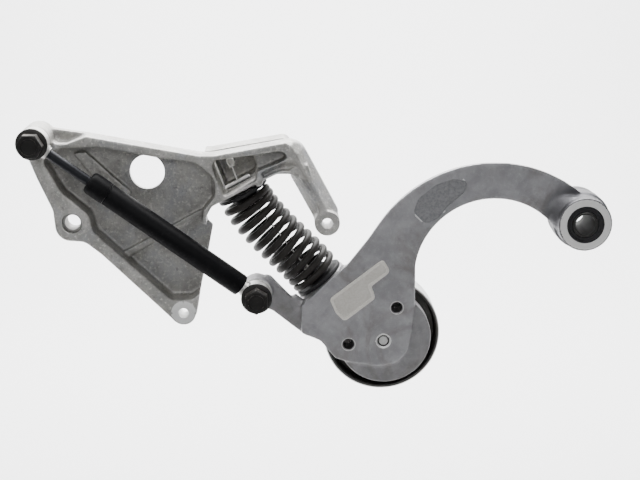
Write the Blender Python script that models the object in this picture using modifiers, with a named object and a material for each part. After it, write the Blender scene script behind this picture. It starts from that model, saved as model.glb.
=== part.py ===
"""Belt tensioner idler: a sprung and damped arm with a smooth pulley.

Frame: metres, +X to the right, +Z up, the front faces -Y.  The origin is the centre
of the left mounting bore on the back mounting plane.  Plane positions below are
(x, z) pairs in millimetres, and depths along Y are in millimetres too.
"""
import math

import bmesh
import bpy
from mathutils import Matrix, Vector

MM = 0.001
MERGE = 0.00002
GAP = 0.3

# Hole and axis centres in the front view, (x, z)
LEFT_HOLE = (0.0, 0.0)
LOWER_HOLE = (74.8, -65.0)
RIGHT_HOLE = (175.4, -1.2)
DAMPER_TOP = (-21.5, 58.0)
DAMPER_BOTTOM = (126.2, -50.0)
PIVOT = (351.5, 0.0)
PULLEY = (215.0, -86.0)
LIGHTENING = (51.2, 33.1)
LIGHTENING_R = 12.0
LEFT_BORE_R = 7.1
SLEEVE_IN_BORE_R = 5.3
LOWER_BORE_R = 3.6
RIGHT_BORE_R = 3.8
DOWEL_HOLES = ((190.3, -88.2), (224.1, -61.6))

# Depth planes of the bracket
RIM_FRONT = -19.0
PAD_BACK = 0.0
PLATE_BACK = -1.0
WEB_FRONT = -4.5
BOX_FLOOR = 25.0
BOX_BACK = 28.5

# Depth planes of the arm
ARM_FRONT = -22.0
ARM_BACK = -7.0
DISC_FRONT = -20.0
EAR_FRONT = -16.5
EAR_BACK = -8.5
BOSS_FRONT = -23.7
PLATFORM_R = 19.2
PLATFORM_THICK = 7.0

# Arm neck: two arcs about one centre
NECK_CENTRE = (290.5, -38.3)
NECK_INNER_R = 54.3
NECK_OUTER_R = 77.0
NECK_FLARE = 0.00185
NECK_FLARE_FROM = 88.0

# Damper
DAMPER_Y = -29.5
EYE_WIDTH = 10.6
EYE_R = 10.4
EYE_BORE_R = 8.9
ROD_R = 3.4
TUBE_R = 7.7
CAP_R = 8.0
CAP_START = 44.3
CAP_END = 59.4
TUBE_END = 170.5

# Flange bolts, M10
HEX_AF = 15.0
FLANGE_R = 10.7
SHANK_R = 5.0
HEX_FRONT = -46.0
FLANGE_FRONT = -37.3

# Coil spring
SPRING_Y = 5.0
SPRING_R = 16.4
WIRE_R = 2.55
TURNS = 10.5
CLOSE_PITCH = 6.0
CLOSE_TURNS_TOP = 1.0
CLOSE_TURNS_LOWER = 1.8
COIL_LENGTH = 74.0
SHELF_SEAT = (116.1, 17.9)
SHELF_TILT = 27.6
ARM_SEAT = (171.0, -47.7)
ARM_TILT = 38.7
SEAT_PLATE = 2.4

# Pulley and its ball bearing
PULLEY_R = 41.5
PULLEY_FRONT = -5.0
PULLEY_BACK = 19.0
BEARING_MID = 7.0
BEARING_HALF = 6.0
BEARING_OD_R = 20.0
BEARING_ID_R = 8.5
BALL_R = 3.4
BALL_PITCH_R = 14.25
BALLS = 8
AXLE_R = 3.8
AXLE_BORE_R = 4.5
STUB_R = 8.2

# Pivot
PIVOT_FRONT = -34.0
PIVOT_BACK = 3.5
PIVOT_R = 18.5
PIVOT_FLANGE_R = 19.5
BUSH_R = 12.5
PIVOT_BORE_R = 12.9
SLEEVE_R = 8.7
SLEEVE_BORE_R = 7.0
SLEEVE_BACK = 4.2

parts = None
cutters = None


# ---------------------------------------------------------------- scene helpers
def clear_scene():
    for old in list(bpy.data.objects):
        bpy.data.objects.remove(old, do_unlink=True)


def new_collection(name):
    made = bpy.data.collections.new(name)
    bpy.context.scene.collection.children.link(made)
    return made


def material(name, colour, metallic, roughness):
    made = bpy.data.materials.new(name)
    made.use_nodes = True
    shader = made.node_tree.nodes["Principled BSDF"]
    shader.inputs["Base Color"].default_value = (*colour, 1.0)
    shader.inputs["Metallic"].default_value = metallic
    shader.inputs["Roughness"].default_value = roughness
    return made


def finish(piece, made_of):
    """Put a finished piece in the parts collection with its own material."""
    cutters.objects.unlink(piece)
    parts.objects.link(piece)
    piece.data.materials.clear()
    piece.data.materials.append(made_of.copy())
    piece.data.shade_smooth()
    piece.data.set_sharp_from_angle(angle=math.radians(35))
    piece.hide_render = False
    piece.display_type = "TEXTURED"
    return piece


def add_mesh(name, mesh):
    """New objects start as hidden helpers until finish() makes them parts."""
    made = bpy.data.objects.new(name, mesh)
    cutters.objects.link(made)
    made.hide_render = True
    made.display_type = "WIRE"
    return made


def boolean(target, tool, operation):
    step = target.modifiers.new(tool.name, "BOOLEAN")
    step.operation = operation
    step.solver = "EXACT"
    step.object = tool


def join(target, *tools):
    for tool in tools:
        boolean(target, tool, "UNION")


def cut(target, *tools):
    for tool in tools:
        boolean(target, tool, "DIFFERENCE")


def hang_on(piece, pivot_empty):
    """Parent a piece to the empty on its joint axis without moving it."""
    piece.parent = pivot_empty
    piece.matrix_parent_inverse = Matrix.Translation(-pivot_empty.location)


def axis_empty(name, point, y):
    made = bpy.data.objects.new(name, None)
    parts.objects.link(made)
    made.location = (point[0] * MM, y * MM, point[1] * MM)
    made.empty_display_size = 0.01
    return made


# ---------------------------------------------------------------- shape helpers
def rounded(corners, steps=3):
    """Turn (x, z, radius) corners into an outline with arcs at the corners."""
    outline = []
    count = len(corners)
    for index, (x, z, radius) in enumerate(corners):
        here = Vector((x, z))
        back = Vector(corners[index - 1][:2]) - here
        ahead = Vector(corners[(index + 1) % count][:2]) - here
        turn = back.angle(ahead)
        if radius <= 0.0 or turn > math.radians(178):
            outline.append(here)
            continue
        reach = min(radius / math.tan(turn / 2), 0.48 * back.length, 0.48 * ahead.length)
        true_radius = reach * math.tan(turn / 2)
        bisector = (back.normalized() + ahead.normalized()).normalized()
        centre = here + bisector * (true_radius / math.sin(turn / 2))
        first = here + back.normalized() * reach - centre
        sweep = math.pi - turn
        side = 1.0 if first.cross(here - centre) > 0 else -1.0
        for step in range(steps + 1):
            angle = side * sweep * step / steps
            outline.append(centre + Matrix.Rotation(angle, 2) @ first)
    return outline


def prism(name, outline, y_front, y_back):
    """Extrude a front-view outline along Y, as a filled 2D curve made into a mesh."""
    curve = bpy.data.curves.new(name, "CURVE")
    curve.dimensions = "2D"
    curve.fill_mode = "BOTH"
    curve.extrude = (y_back - y_front) / 2 * MM
    spline = curve.splines.new("POLY")
    spline.points.add(len(outline) - 1)
    for point, (x, z) in zip(spline.points, outline):
        point.co = (x * MM, z * MM, 0.0, 1.0)
    spline.use_cyclic_u = True
    holder = bpy.data.objects.new(name, curve)
    cutters.objects.link(holder)
    holder.location.y = (y_front + y_back) / 2 * MM
    holder.rotation_euler.x = math.radians(90)
    return curve_to_mesh(holder)


def curve_to_mesh(holder):
    bpy.context.view_layer.update()
    name = holder.name
    graph = bpy.context.evaluated_depsgraph_get()
    mesh = bpy.data.meshes.new_from_object(holder.evaluated_get(graph))
    mesh.transform(holder.matrix_world)
    bpy.data.objects.remove(holder, do_unlink=True)
    work = bmesh.new()
    work.from_mesh(mesh)
    bmesh.ops.remove_doubles(work, verts=work.verts, dist=MERGE / 10)
    bmesh.ops.recalc_face_normals(work, faces=work.faces)
    work.to_mesh(mesh)
    work.free()
    return add_mesh(name, mesh)


def facing(direction):
    """Rotation that turns local +Z to the given direction."""
    return Vector(direction).to_track_quat("Z", "Y").to_matrix().to_4x4()


def turned(name, profile, place, direction=(0, -1, 0), steps=20):
    """Turn a closed (radius, height) loop round the axis with a Screw modifier.

    The loop runs down its outer side.  A loop whose first and last radius are 0 is
    left open there, which closes the solid on its axis.
    """
    mesh = bpy.data.meshes.new(name)
    points = [(radius * MM, 0.0, height * MM) for radius, height in profile]
    edges = [(index, index + 1) for index in range(len(points) - 1)]
    if profile[0][0] > 0:
        edges.append((len(points) - 1, 0))
    mesh.from_pydata(points, edges, [])
    made = add_mesh(name, mesh)
    made.matrix_world = Matrix.Translation(Vector(place) * MM) @ facing(direction)
    screw = made.modifiers.new("turn", "SCREW")
    screw.axis = "Z"
    screw.steps = steps
    screw.render_steps = steps
    screw.use_merge_vertices = True
    screw.merge_threshold = MERGE
    return made


def disc(name, centre, radius, y_front, y_back, steps=20):
    """Plain cylinder along Y."""
    height = y_back - y_front
    profile = [(0, height), (radius, height), (radius, 0), (0, 0)]
    return turned(name, profile, (centre[0], y_back, centre[1]), steps=steps)


def ring(name, centre, inner, outer, y_front, y_back, steps=20):
    height = y_back - y_front
    profile = [(outer, height), (outer, 0), (inner, 0), (inner, height)]
    return turned(name, profile, (centre[0], y_back, centre[1]), steps=steps)


def hexagon(name, centre, across_flats, y_front, y_back, turn_deg):
    work = bmesh.new()
    radius = across_flats / math.sqrt(3) * MM
    bmesh.ops.create_cone(work, cap_ends=True, segments=6, radius1=radius,
                          radius2=radius, depth=(y_back - y_front) * MM)
    mesh = bpy.data.meshes.new(name)
    work.to_mesh(mesh)
    work.free()
    made = add_mesh(name, mesh)
    middle = Vector((centre[0], (y_front + y_back) / 2, centre[1])) * MM
    spin = Matrix.Rotation(math.radians(turn_deg), 4, "Z")
    made.matrix_world = Matrix.Translation(middle) @ facing((0, -1, 0)) @ spin
    return made


def rod(name, start, end, radius, steps=14):
    """Plain round bar between two points."""
    start = Vector(start)
    end = Vector(end)
    length = (end - start).length
    profile = [(0, length), (radius, length), (radius, 0), (0, 0)]
    return turned(name, profile, start, end - start, steps)


def arc_points(centre, radius_of, from_deg, to_deg, count):
    found = []
    for step in range(count + 1):
        degrees = from_deg + (to_deg - from_deg) * step / count
        radius = radius_of(degrees)
        angle = math.radians(degrees)
        found.append((centre[0] + radius * math.cos(angle),
                      centre[1] + radius * math.sin(angle)))
    return found


# ---------------------------------------------------------------- bracket
def bracket_casting(aluminium):
    """Ribbed web with a raised rim, a deep spring box and three mounting bosses."""
    body = prism("bracket_casting", rounded([
        (-27, 66.5, 4), (12, 60.5, 30), (93, 45.8, 40), (156.3, 57.1, 13), (183.4, 6, 3),
        (181, -7, 3), (168.8, -6, 2), (169.2, 10, 2), (152, 36.5, 10), (140.5, 35.5, 8),
        (126.5, 23.8, 3), (104, 11.8, 3), (96, 9, 5), (91.6, 3, 2), (92.4, -1.5, 1),
        (96, -4.7, 1), (92.6, -22, 20), (87, -48, 6), (84, -66, 2), (70, -72.5, 2),
        (19, -22, 25), (8, -13.2, 10), (-11, -12, 11), (-12.6, 9, 14), (-22.4, 31.6, 20),
        (-31.5, 56, 4)]), RIM_FRONT, PLATE_BACK)
    box = prism("spring_box", rounded([
        (89.5, 45.5, 3), (93, 44.9, 10), (150, 54.8, 6), (152, 38, 4), (140.5, 36.2, 8),
        (127.0, 24.6, 3), (104.4, 12.7, 3), (96.5, 14, 4), (95.5, 32, 6)]), -18.0, BOX_BACK)
    leg_flange = prism("leg_flange", rounded([
        (148, 40, 1), (150.5, 27.5, 5), (167, -2.5, 3), (174, 2, 2), (160, 42, 2)]),
        -6.0, PLATE_BACK - 0.4)
    nub = disc("box_nub", (128.5, 27.7), 2.6, RIM_FRONT - 0.8, BOX_BACK - 1.5, 12)
    top_boss = disc("top_boss", DAMPER_TOP, 10.6, BOSS_FRONT, PAD_BACK)
    lower_boss = disc("lower_boss", LOWER_HOLE, 8.6, -17.0, PAD_BACK, 16)
    right_boss = disc("right_boss", RIGHT_HOLE, 8.8, -17.5, PAD_BACK, 16)
    left_pad = disc("left_pad", LEFT_HOLE, 10.9, -15.0, PAD_BACK)
    join(body, box, leg_flange, nub, top_boss)

    web_pocket = prism("web_pocket", rounded([
        (-18.5, 44, 4), (-8, 54.5, 8), (20, 53.3, 20), (62, 45.4, 20), (86, 42.5, 16),
        (98.6, 30, 10), (98.6, 18, 4), (90.2, 7.5, 4), (89.6, -1.3, 0), (104, -3, 0),
        (104, -50, 0), (88, -50, 3), (81, -55.5, 4), (67, -56, 4), (24.5, -16.5, 20),
        (13.8, -6, 8), (11.6, 5.5, 8), (-6.6, 21.5, 20)]), RIM_FRONT - 6, WEB_FRONT)
    box_pocket = prism("box_pocket", rounded([
        (104.3, 16.4, 2), (96.8, 38, 3), (99.5, 43.2, 2), (145, 50.2, 5), (148.5, 43.5, 4),
        (129.5, 29.8, 3)]), RIM_FRONT - 6, BOX_FLOOR)
    leg_channel = prism("leg_channel", rounded([
        (152.5, 45.5, 3), (158, 40, 2), (171, 14.5, 1.5), (168.5, 13.5, 1.5),
        (158, 33, 3), (151, 41, 3)]), RIM_FRONT - 6, -13.0)
    cut(body, web_pocket, box_pocket, leg_channel)

    damper_ridge = prism("damper_ridge", rounded([
        (-10, 50, 1), (4, 49, 1), (53, 11, 1), (48, 6, 1)], 2), -6.8, -3.0)
    cross_rib = prism("cross_rib", rounded([
        (33, -23.5, 1), (97, 11.6, 1), (94, 6.5, 1), (36, -27.4, 1)], 2), -7.2, -3.0)
    join(body, damper_ridge, cross_rib, lower_boss, right_boss, left_pad)
    cut(body,
        disc("left_bore", LEFT_HOLE, LEFT_BORE_R, -30, 10, 16),
        disc("lower_bore", LOWER_HOLE, LOWER_BORE_R, -30, 10, 12),
        disc("right_bore", RIGHT_HOLE, RIGHT_BORE_R, -30, 10, 12),
        disc("lightening_hole", LIGHTENING, LIGHTENING_R, -30, 10, 24),
        disc("top_bolt_hole", DAMPER_TOP, SHANK_R + GAP, -40, 10, 16),
        shelf_hole())
    return finish(body, aluminium)


def shelf_axis():
    """Unit vector square to the spring shelf, pointing down into the spring."""
    tilt = math.radians(SHELF_TILT)
    return Vector((math.sin(tilt), 0.0, -math.cos(tilt)))


def arm_seat_axis():
    """Unit vector square to the arm's spring seat, pointing up into the spring."""
    tilt = math.radians(ARM_TILT)
    return Vector((-math.sin(tilt), 0.0, math.cos(tilt)))


def shelf_hole():
    middle = Vector((SHELF_SEAT[0], SPRING_Y, SHELF_SEAT[1]))
    down = shelf_axis()
    return rod("cable_hole", middle - down * 9, middle + down * 5, 3.0, 16)


def mounting_sleeve(steel):
    """Steel sleeve pressed into the left mounting bore."""
    made = ring("mounting_sleeve", LEFT_HOLE, SLEEVE_IN_BORE_R, LEFT_BORE_R - GAP, -15.0, -1.0, 16)
    return finish(made, steel)


# ---------------------------------------------------------------- bolts, bushes and eyes
def flange_bolt(name, centre, tip, turn_deg, black):
    """M10 hexagon flange bolt: dished head, flange, shank and a chamfered tip."""
    height = tip - FLANGE_FRONT
    profile = [(0, height + 1), (6.4, height + 1), (7.2, height + 0.6),
               (FLANGE_R - 0.7, height - 0.6), (FLANGE_R, height - 1.2),
               (FLANGE_R, height - 2.1), (SHANK_R, height - 2.1),
               (SHANK_R, 0.8), (SHANK_R - 0.8, 0), (0, 0)]
    made = turned(name, profile, (centre[0], tip, centre[1]))
    head = hexagon(name + "_hex", centre, HEX_AF, HEX_FRONT, FLANGE_FRONT + 0.5, turn_deg)
    dish = disc(name + "_dish", centre, 5.2, HEX_FRONT - 2, HEX_FRONT + 0.9, 16)
    join(made, head)
    cut(made, dish)
    return finish(made, black)


def eye_span():
    return DAMPER_Y - EYE_WIDTH / 2, DAMPER_Y + EYE_WIDTH / 2


def damper_eye(name, centre, towards, reach, stub_radius, steel):
    """Welded eye ring with the short stub that meets the rod or the tube."""
    front, back = eye_span()
    made = ring(name, centre, EYE_BORE_R, EYE_R, front, back, 24)
    direction = Vector((towards[0] - centre[0], 0, towards[1] - centre[1])).normalized()
    middle = Vector((centre[0], DAMPER_Y, centre[1]))
    start = middle + direction * (EYE_BORE_R + 0.3)
    join(made, rod(name + "_stub", start, middle + direction * reach, stub_radius))
    return finish(made, steel)


def rubber_bush(name, centre, inner, rubber):
    front, back = eye_span()
    made = ring(name, centre, inner, EYE_BORE_R - GAP, front + 0.3, back - 0.3, 16)
    return finish(made, rubber)


def inner_sleeve(name, centre, outer, steel):
    front, back = eye_span()
    made = ring(name, centre, SHANK_R + GAP, outer, front, back + 0.2, 16)
    return finish(made, steel)


# ---------------------------------------------------------------- damper
def damper_frame():
    top = Vector((DAMPER_TOP[0], DAMPER_Y, DAMPER_TOP[1]))
    bottom = Vector((DAMPER_BOTTOM[0], DAMPER_Y, DAMPER_BOTTOM[1]))
    return top, (bottom - top).normalized()


def along_damper(name, profile, start, steps=16):
    """Turned piece on the damper axis; heights run from start towards the lower eye."""
    top, axis = damper_frame()
    return turned(name, profile, top + axis * start, axis, steps)


def sleeve_profile(inner, outer, length):
    return [(outer, length), (outer, 0), (inner, 0), (inner, length)]


def rod_pieces(steel, brass):
    """What slides into the damper with the upper eye."""
    rod_solid = [(0, 106), (ROD_R, 106), (ROD_R, 0), (0, 0)]
    return [
        finish(along_damper("piston_rod", rod_solid, 12.4), steel),
        finish(along_damper("piston", sleeve_profile(ROD_R + GAP, 5.2, 8), 108), steel),
        finish(along_damper("piston_nut", sleeve_profile(ROD_R + GAP, 4.9, 4), 103), brass)]


def tube_pieces(black, steel, rubber, brass):
    """The damper's outer tube with what is fixed inside it."""
    length = TUBE_END - CAP_END - GAP
    wall = TUBE_R - 1.2
    tube = [(0, length), (TUBE_R - 1, length), (TUBE_R, length - 1), (TUBE_R, 0),
            (wall, 0), (wall, length - 4), (0, length - 4)]
    cap_length = CAP_END - CAP_START
    cap = [(CAP_R, cap_length), (CAP_R, 2.4), (CAP_R - 2.2, 0), (ROD_R + 0.5, 0),
           (ROD_R + 0.5, 6), (7.0, 6), (7.0, cap_length)]
    return [
        finish(along_damper("damper_end_cap", cap, CAP_START), black),
        finish(along_damper("damper_tube", tube, CAP_END + GAP), black),
        finish(along_damper("rod_seal", sleeve_profile(ROD_R + 0.2, 6.6, 3), 50.8), rubber),
        finish(along_damper("rod_guide", sleeve_profile(ROD_R + 0.2, 6.2, 9), 60.4), steel),
        finish(along_damper("inner_cylinder", sleeve_profile(5.6, 6.2, 88), 70.0), steel),
        finish(along_damper("base_valve", [(0, 6), (5.2, 6), (5.2, 0), (0, 0)], 158.6), brass)]


# ---------------------------------------------------------------- spring and limiter
def spring_centreline(share):
    """Bowed centreline of the coil, square to both seats (a cubic blend)."""
    first = Vector((SHELF_SEAT[0], SPRING_Y, SHELF_SEAT[1]))
    first += shelf_axis() * (SEAT_PLATE + WIRE_R + 1.0)
    last = Vector((ARM_SEAT[0], SPRING_Y, ARM_SEAT[1]))
    last += arm_seat_axis() * (SEAT_PLATE + WIRE_R + 1.0)
    pull = (last - first).length
    leave = shelf_axis() * pull
    arrive = -arm_seat_axis() * pull
    cube = share ** 3
    square = share ** 2
    return (first * (2 * cube - 3 * square + 1) + leave * (cube - 2 * square + share)
            + last * (3 * square - 2 * cube) + arrive * (cube - square))


def coil_share(turn):
    """Share of the coil's length reached after so many turns; the end turns lie close."""
    close = CLOSE_PITCH / COIL_LENGTH
    close_turns = CLOSE_TURNS_TOP + CLOSE_TURNS_LOWER
    open_turns = TURNS - close_turns
    opened = min(max(turn - CLOSE_TURNS_TOP, 0), open_turns)
    return (turn - opened) * close + opened * (1 - close_turns * close) / open_turns


def coil_spring(steel, per_turn=10):
    """Compression spring that follows its bowed centreline."""
    curve = bpy.data.curves.new("coil_spring", "CURVE")
    curve.dimensions = "3D"
    curve.bevel_depth = WIRE_R * MM
    curve.bevel_resolution = 2
    curve.use_fill_caps = True
    spline = curve.splines.new("POLY")
    count = int(TURNS * per_turn) + 1
    spline.points.add(count - 1)
    across = Vector((0, 1, 0))
    for index, point in enumerate(spline.points):
        turn = TURNS * index / (count - 1)
        share = coil_share(turn)
        ahead = spring_centreline(min(share + 0.01, 1)) - spring_centreline(max(share - 0.01, 0))
        side = ahead.normalized().cross(across).normalized()
        angle = 2 * math.pi * turn
        around = side * math.cos(angle) - across * math.sin(angle)
        point.co = (*((spring_centreline(share) + around * SPRING_R) * MM), 1.0)
    holder = bpy.data.objects.new("coil_spring", curve)
    cutters.objects.link(holder)
    return finish(curve_to_mesh(holder), steel)


def spring_seat(name, middle, axis, post_height, plastic):
    """Isolator washer with the hollow guide post that centres the end coil."""
    profile = [(8.6, post_height), (9.6, post_height - 1.0), (9.8, SEAT_PLATE), (18.6, SEAT_PLATE),
               (18.6, 0), (3.6, 0), (3.6, post_height)]
    place = Vector((middle[0], SPRING_Y, middle[1])) + axis * GAP
    return finish(turned(name, profile, place, axis), plastic)


def limiter_line():
    """Centres of the end tab, the toggle and the lower ferrule of the limiter cable."""
    return (Vector((109.6, SPRING_Y, 34.6)), Vector((113.3, SPRING_Y, 23.7)),
            Vector((160.6, SPRING_Y, -38.2)))


def limiter_pieces(zinc):
    """Thin cable that stops the arm from dropping, with its toggle bar and crimped ends."""
    tab_at, toggle_at, ferrule_at = limiter_line()
    down = (ferrule_at - toggle_at).normalized()
    up = (tab_at - toggle_at).normalized()
    tilt = math.radians(SHELF_TILT)
    along = Vector((math.cos(tilt), 0, math.sin(tilt)))
    toggle = rod("limiter_toggle", toggle_at - along * 9.7, toggle_at + along * 9.7, 1.6, 14)
    cut(toggle, rod("toggle_bore", toggle_at - down * 6, toggle_at + down * 6, 1.15, 12))

    curve = bpy.data.curves.new("limiter_cable", "CURVE")
    curve.dimensions = "3D"
    curve.bevel_depth = 0.55 * MM
    curve.bevel_resolution = 2
    curve.use_fill_caps = True
    spline = curve.splines.new("POLY")
    route = (tab_at - up * 0.3, toggle_at, ferrule_at - down * 3.4)
    spline.points.add(len(route) - 1)
    for point, spot in zip(spline.points, route):
        point.co = (*(spot * MM), 1.0)
    holder = bpy.data.objects.new("limiter_cable", curve)
    cutters.objects.link(holder)
    cable = curve_to_mesh(holder)
    ferrule = rod("lower_ferrule", ferrule_at - down * 3.0, ferrule_at + down * 3.2, 2.3, 14)
    tab = rod("cable_end_tab", tab_at, tab_at + up * 6.5, 2.6, 12)
    return [finish(piece, zinc) for piece in (toggle, cable, ferrule, tab)]


# ---------------------------------------------------------------- arm
def neck_outer(degrees):
    return NECK_OUTER_R + NECK_FLARE * (degrees - NECK_FLARE_FROM) ** 2


def neck_inner(_degrees):
    return NECK_INNER_R


def arm_casting(aluminium):
    """Curved neck, face plate, damper ear, spring platform and pivot tube in one casting."""
    outer = [(x, z, 0) for x, z in arc_points(NECK_CENTRE, neck_outer, 28, 156, 18)]
    inner = [(x, z, 0) for x, z in arc_points(NECK_CENTRE, neck_inner, 172, 32, 18)]
    body = prism("arm_casting", rounded(outer + [
        (205.1, -14.3, 20), (191, -32.5, 8), (185.2, -37.6, 2), (157.4, -59.9, 1),
        (157.2, -79.8, 1), (170.5, -85.4, 6), (181, -100.5, 5), (205, -105.5, 20),
        (232, -104.5, 18), (236.6, -60, 4)] + inner), ARM_FRONT, ARM_BACK)
    span = PIVOT_BACK - PIVOT_FRONT
    tube = turned("pivot_tube", [
        (0, span), (PIVOT_R, span), (PIVOT_R, 6), (PIVOT_FLANGE_R, 5.2), (PIVOT_FLANGE_R, 0),
        (0, 0)], (PIVOT[0], PIVOT_BACK, PIVOT[1]), steps=28)
    face_disc = disc("face_disc", (215.7, -84.2), 33.0, DISC_FRONT, ARM_BACK - 0.5, 32)
    ear = prism("damper_ear", rounded([
        (124, -41.5, 1), (135, -39.5, 5), (150, -55.5, 8), (162, -62, 1), (162, -84.5, 1),
        (149, -74.2, 8), (137, -64.5, 8), (124, -59.5, 1)]), EAR_FRONT, EAR_BACK)
    ear_boss = disc("ear_boss", DAMPER_BOTTOM, 11.0, BOSS_FRONT, EAR_BACK + 0.5)
    seat_up = arm_seat_axis()
    seat_at = Vector((ARM_SEAT[0], SPRING_Y, ARM_SEAT[1]))
    platform = turned("platform", [
        (0, PLATFORM_THICK), (PLATFORM_R, PLATFORM_THICK), (PLATFORM_R, 0), (0, 0)],
        seat_at - seat_up * PLATFORM_THICK, seat_up, 24)
    prop = prism("platform_prop", rounded([
        (162, -60, 2), (188, -39, 2), (199, -38, 3), (180, -62, 4), (168, -72, 4)], 3),
        ARM_BACK - 2, 12.0)
    stub_end = BEARING_MID + BEARING_HALF + GAP
    shoulder = stub_end - (BEARING_MID - BEARING_HALF - GAP)
    length = stub_end - ARM_BACK + 1
    stub = turned("axle_stub", [
        (0, length), (10.6, length), (10.6, shoulder), (STUB_R, shoulder), (STUB_R, 0), (0, 0)],
        (PULLEY[0], stub_end, PULLEY[1]), steps=20)
    join(body, face_disc, ear, ear_boss, platform, prop, stub, tube)

    back_pocket = prism("neck_hollow", [Vector(spot) for spot in (
        arc_points(NECK_CENTRE, lambda degrees: neck_outer(degrees) - 5, 62, 150, 10)
        + arc_points(NECK_CENTRE, lambda degrees: NECK_INNER_R + 5, 150, 62, 10))],
        ARM_BACK - 8, ARM_BACK + 4)
    cut(body, back_pocket,
        disc("axle_bore", PULLEY, AXLE_BORE_R, -30, 20, 16),
        disc("ear_bore", DAMPER_BOTTOM, SHANK_R + GAP, -30, 5, 16),
        *[disc("dowel_bore", spot, 3.9, -30, 5, 12) for spot in DOWEL_HOLES],
        disc("pivot_bore", PIVOT, PIVOT_BORE_R, PIVOT_FRONT - 5, PIVOT_BACK + 5, 24))
    return finish(body, aluminium)


def pivot_bushes(rubber, plastic, steel):
    """Two plain bushes with lip seals in the arm, running on the clamped inner sleeve."""
    inner = SLEEVE_R + 0.25
    made = [
        finish(ring("pivot_front_seal", PIVOT, inner, BUSH_R, PIVOT_FRONT + 0.2, -31.6), rubber),
        finish(ring("pivot_front_bush", PIVOT, inner, BUSH_R, -31.2, -16.0), plastic),
        finish(ring("pivot_rear_bush", PIVOT, inner, BUSH_R, -14.0, 0.8), plastic),
        finish(ring("pivot_rear_seal", PIVOT, inner, BUSH_R, 1.2, PIVOT_BACK - 0.2), rubber)]
    sleeve = ring("pivot_inner_sleeve", PIVOT, SLEEVE_BORE_R, SLEEVE_R, PIVOT_FRONT - 0.3, SLEEVE_BACK)
    return made, finish(sleeve, steel)


# ---------------------------------------------------------------- pulley and bearing
def pulley_wheel(steel):
    """Smooth cup-shaped pulley with a bearing hub, turned in one profile."""
    back = PULLEY_BACK
    front = back - PULLEY_FRONT
    profile = [(PULLEY_R, front - 0.8), (PULLEY_R, 0.8), (PULLEY_R - 0.8, 0), (37.6, 0), (37.6, 10),
               (24, 10), (24, 5.5), (BEARING_OD_R + GAP, 5.5), (BEARING_OD_R + GAP, 18.5), (24, 18.5),
               (24, 14), (37.6, 14), (37.6, front), (PULLEY_R - 0.8, front)]
    made = turned("pulley", profile, (PULLEY[0], back, PULLEY[1]), steps=40)
    return finish(made, steel)


def bearing(steel, brass, rubber):
    """Deep-groove ball bearing: two rings, balls, cage and two seals."""
    back = BEARING_MID + BEARING_HALF
    place = (PULLEY[0], back, PULLEY[1])
    width = 2 * BEARING_HALF
    mid = BEARING_HALF
    outer_loop = [(BEARING_OD_R, width), (BEARING_OD_R, 0), (16.6, 0), (16.6, mid - 2.8),
                  (17.85, mid - 1.2), (17.85, mid + 1.2), (16.6, mid + 2.8), (16.6, width)]
    inner_loop = [(11.9, width), (11.9, mid + 2.8), (10.65, mid + 1.2), (10.65, mid - 1.2),
                  (11.9, mid - 2.8), (11.9, 0), (BEARING_ID_R, 0), (BEARING_ID_R, width)]
    outer = finish(turned("bearing_outer_ring", outer_loop, place, steps=24), steel)
    inner = finish(turned("bearing_inner_ring", inner_loop, place), steel)
    cage = ring("ball_cage", PULLEY, 13.4, 15.1, BEARING_MID - 4.6, BEARING_MID + 4.6, 24)
    spinning = [outer]
    for index in range(BALLS):
        angle = 2 * math.pi * index / BALLS
        spot = Vector((PULLEY[0] + BALL_PITCH_R * math.cos(angle), BEARING_MID,
                       PULLEY[1] + BALL_PITCH_R * math.sin(angle)))
        cut(cage, sphere(f"pocket_{index + 1}", spot, BALL_R + 2 * GAP, 8, 6))
        spinning.append(finish(sphere(f"ball_{index + 1}", spot, BALL_R, 10, 7), steel))
    spinning.append(finish(cage, brass))
    for name, middle in (("bearing_front_seal", BEARING_MID - 5.4), ("bearing_rear_seal", BEARING_MID + 5.4)):
        seal = ring(name, PULLEY, 12.1, 16.4, middle - 0.4, middle + 0.4)
        spinning.append(finish(seal, rubber))
    return spinning, inner


def sphere(name, spot, radius, around, down):
    work = bmesh.new()
    bmesh.ops.create_uvsphere(work, u_segments=around, v_segments=down, radius=radius * MM)
    mesh = bpy.data.meshes.new(name)
    work.to_mesh(mesh)
    work.free()
    made = add_mesh(name, mesh)
    made.location = spot * MM
    return made


def pulley_fixings(steel):
    """Bolt from the back that clamps the inner ring on the arm's axle stub, and its washer."""
    washer = ring("pulley_washer", PULLEY, AXLE_BORE_R, 11.4, 13.6, 15.4)
    bolt = disc("pulley_bolt", PULLEY, AXLE_R, -21.4, 16.5, 16)
    join(bolt, hexagon("pulley_bolt_hex", PULLEY, 13.0, 15.7, 21.8, 0))
    return [finish(washer, steel), finish(bolt, steel)]


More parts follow.
